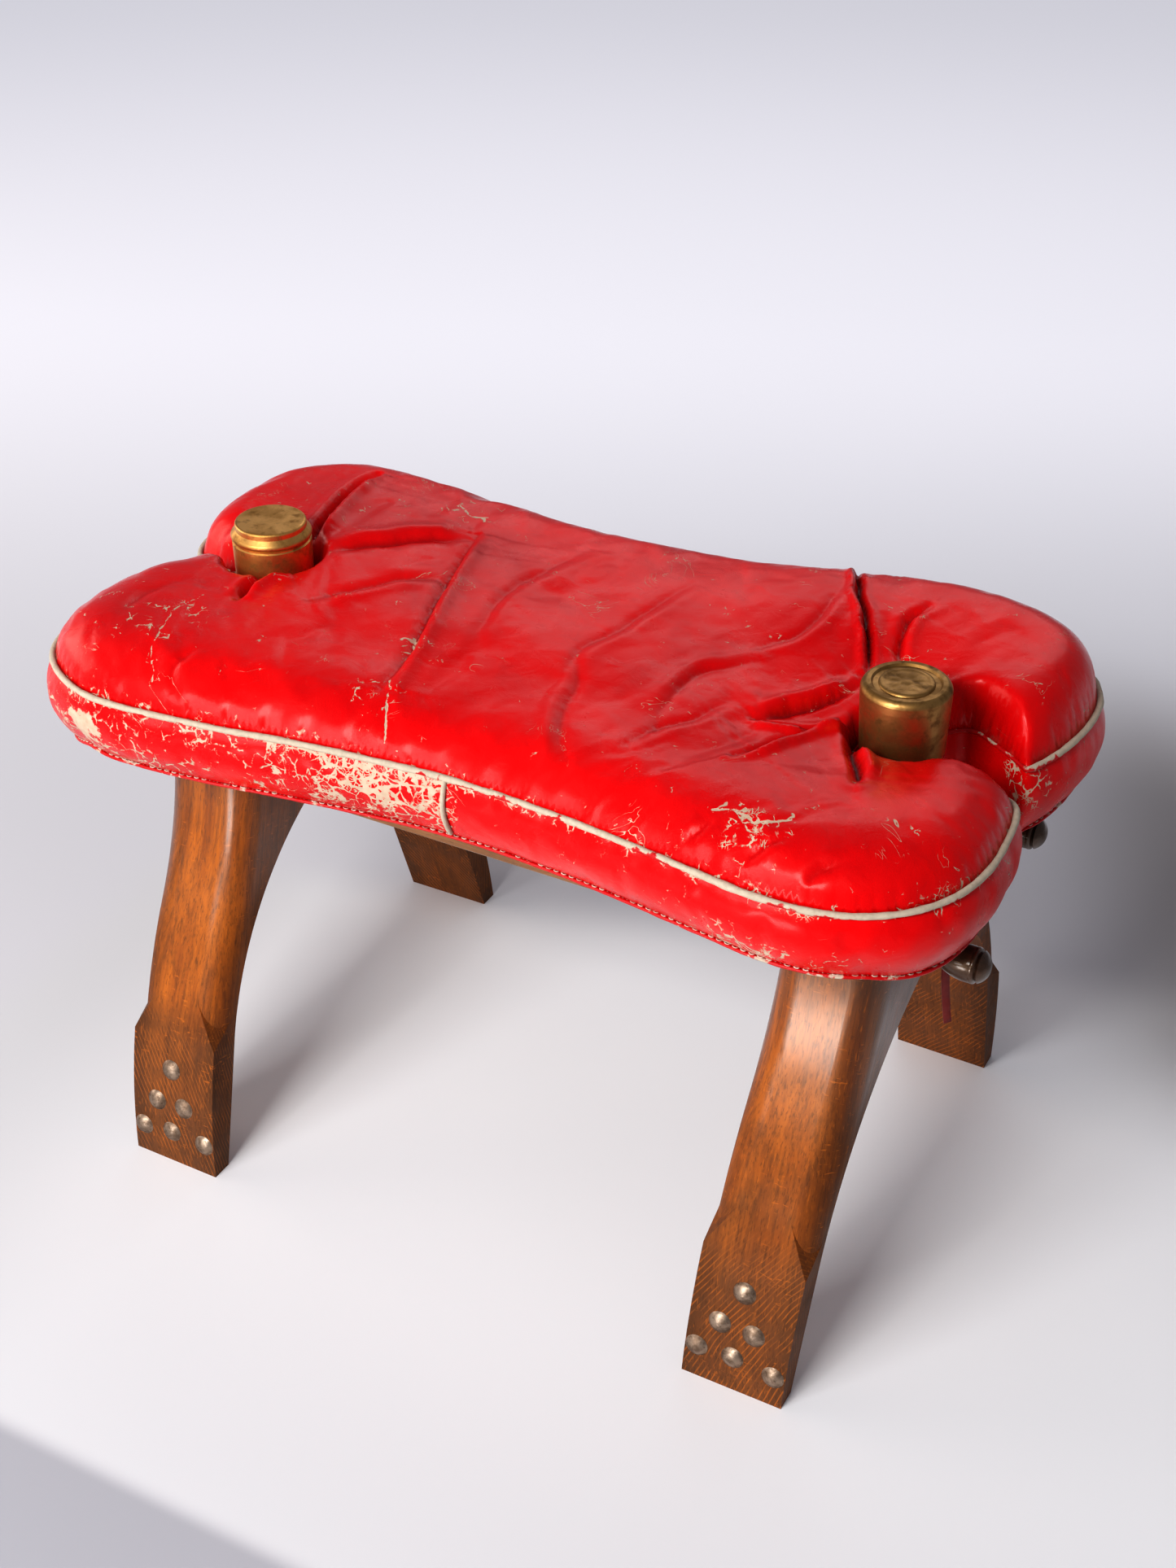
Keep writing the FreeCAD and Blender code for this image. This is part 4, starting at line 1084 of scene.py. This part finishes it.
def make_rosette(material):
    """Generic relief on the right cap: a low disc with eight petals inside a plain ring."""
    radii = (1.6, 3.2, 4.2, 5.4, 7.0, 9.0, 11.0, 12.6, 13.6, 14.6, 15.6, 16.6, 17.2)
    spokes, petals, boss = 96, 8, 1.75
    vertices, faces = [(POST_X, 0, DISH_Z + boss)], []
    for radius in radii:
        for spoke in range(spokes):
            angle = 2 * math.pi * spoke / spokes
            petal = 0.5 + 0.5 * math.cos(petals * angle)
            if radius < 4:
                rise = boss - 0.25 * (radius / 3.2) ** 2
            elif radius < 12:
                rise = 1.1 + 0.55 * petal ** 0.6 * math.sin(math.pi * (radius - 4) / 9)
            else:
                rise = 1.1 + 0.5 * math.exp(-((radius - 14.6) / 1.1) ** 2)
            if radius == radii[-1]:
                rise = -0.1
            vertices.append((POST_X + radius * math.cos(angle), radius * math.sin(angle), DISH_Z + rise))
    for spoke in range(spokes):
        after = (spoke + 1) % spokes
        faces.append((0, 1 + spoke, 1 + after))
        for ring in range(len(radii) - 1):
            start = 1 + ring * spokes
            faces.append((start + spoke, start + spokes + spoke, start + spokes + after, start + after))
    mesh_piece("cap_rosette", vertices, faces, material, "frame")


def finish_cad_nodes():
    straight, along_x = {"lean": 0, "edge": 0}, {"lean": 0, "edge": 0, "lengthwise": True}
    pale = (0.30, 0.13, 0.045), (0.20, 0.078, 0.025), (0.09, 0.032, 0.011), 0.3, (0.20, 0.078, 0.025)
    beech = wood("stained_beech", (0.40, 0.098, 0.006), (0.22, 0.048, 0.004), (0.024, 0.007, 0.0025), 0.22,
                 (0.060, 0.023, 0.010))
    post = wood("post_beech", *pale, **straight)
    rail = wood("rail_beech", *pale, **along_x)
    turned = wood("turned_wood", (0.050, 0.022, 0.012), (0.030, 0.013, 0.008), (0.012, 0.006, 0.004), 0.16,
                  (0.030, 0.013, 0.008), **along_x)
    dowel = wood("dowel_beech", (0.42, 0.26, 0.13), (0.34, 0.2, 0.10), (0.2, 0.11, 0.05), 0.4,
                 (0.34, 0.2, 0.10), **straight)
    lid = metal("lid_brass", (0.80, 0.44, 0.14), (0.50, 0.26, 0.07), 0.42, (0.22, 0.10, 0.026))
    cup = metal("cup_brass", (0.46, 0.26, 0.09), (0.27, 0.145, 0.045), 0.44, (0.11, 0.056, 0.018))
    stud = metal("stud_bronze", (0.36, 0.27, 0.20), (0.17, 0.115, 0.08), 0.43, (0.075, 0.045, 0.03), 110)
    steel = metal("screw_steel", (0.50, 0.48, 0.45), (0.33, 0.31, 0.28), 0.42, (0.16, 0.10, 0.06), 120)
    finishes = {"_leg": beech, "_rod": turned, "_finial": turned, "_post": post, "_rail": rail,
                "_dowels": dowel, "_studs": stud, "left_cap": lid, "right_cap": cup, "rail_screws": steel}
    for name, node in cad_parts.items():
        for ending, material in finishes.items():
            if name.endswith(ending):
                for slot in node.material_slots:
                    slot.material = material
    make_rosette(cup)


# ---------------- the scene

make_camera()
make_tie()
make_studio()
make_floor()
make_cushion()
finish_cad_nodes()
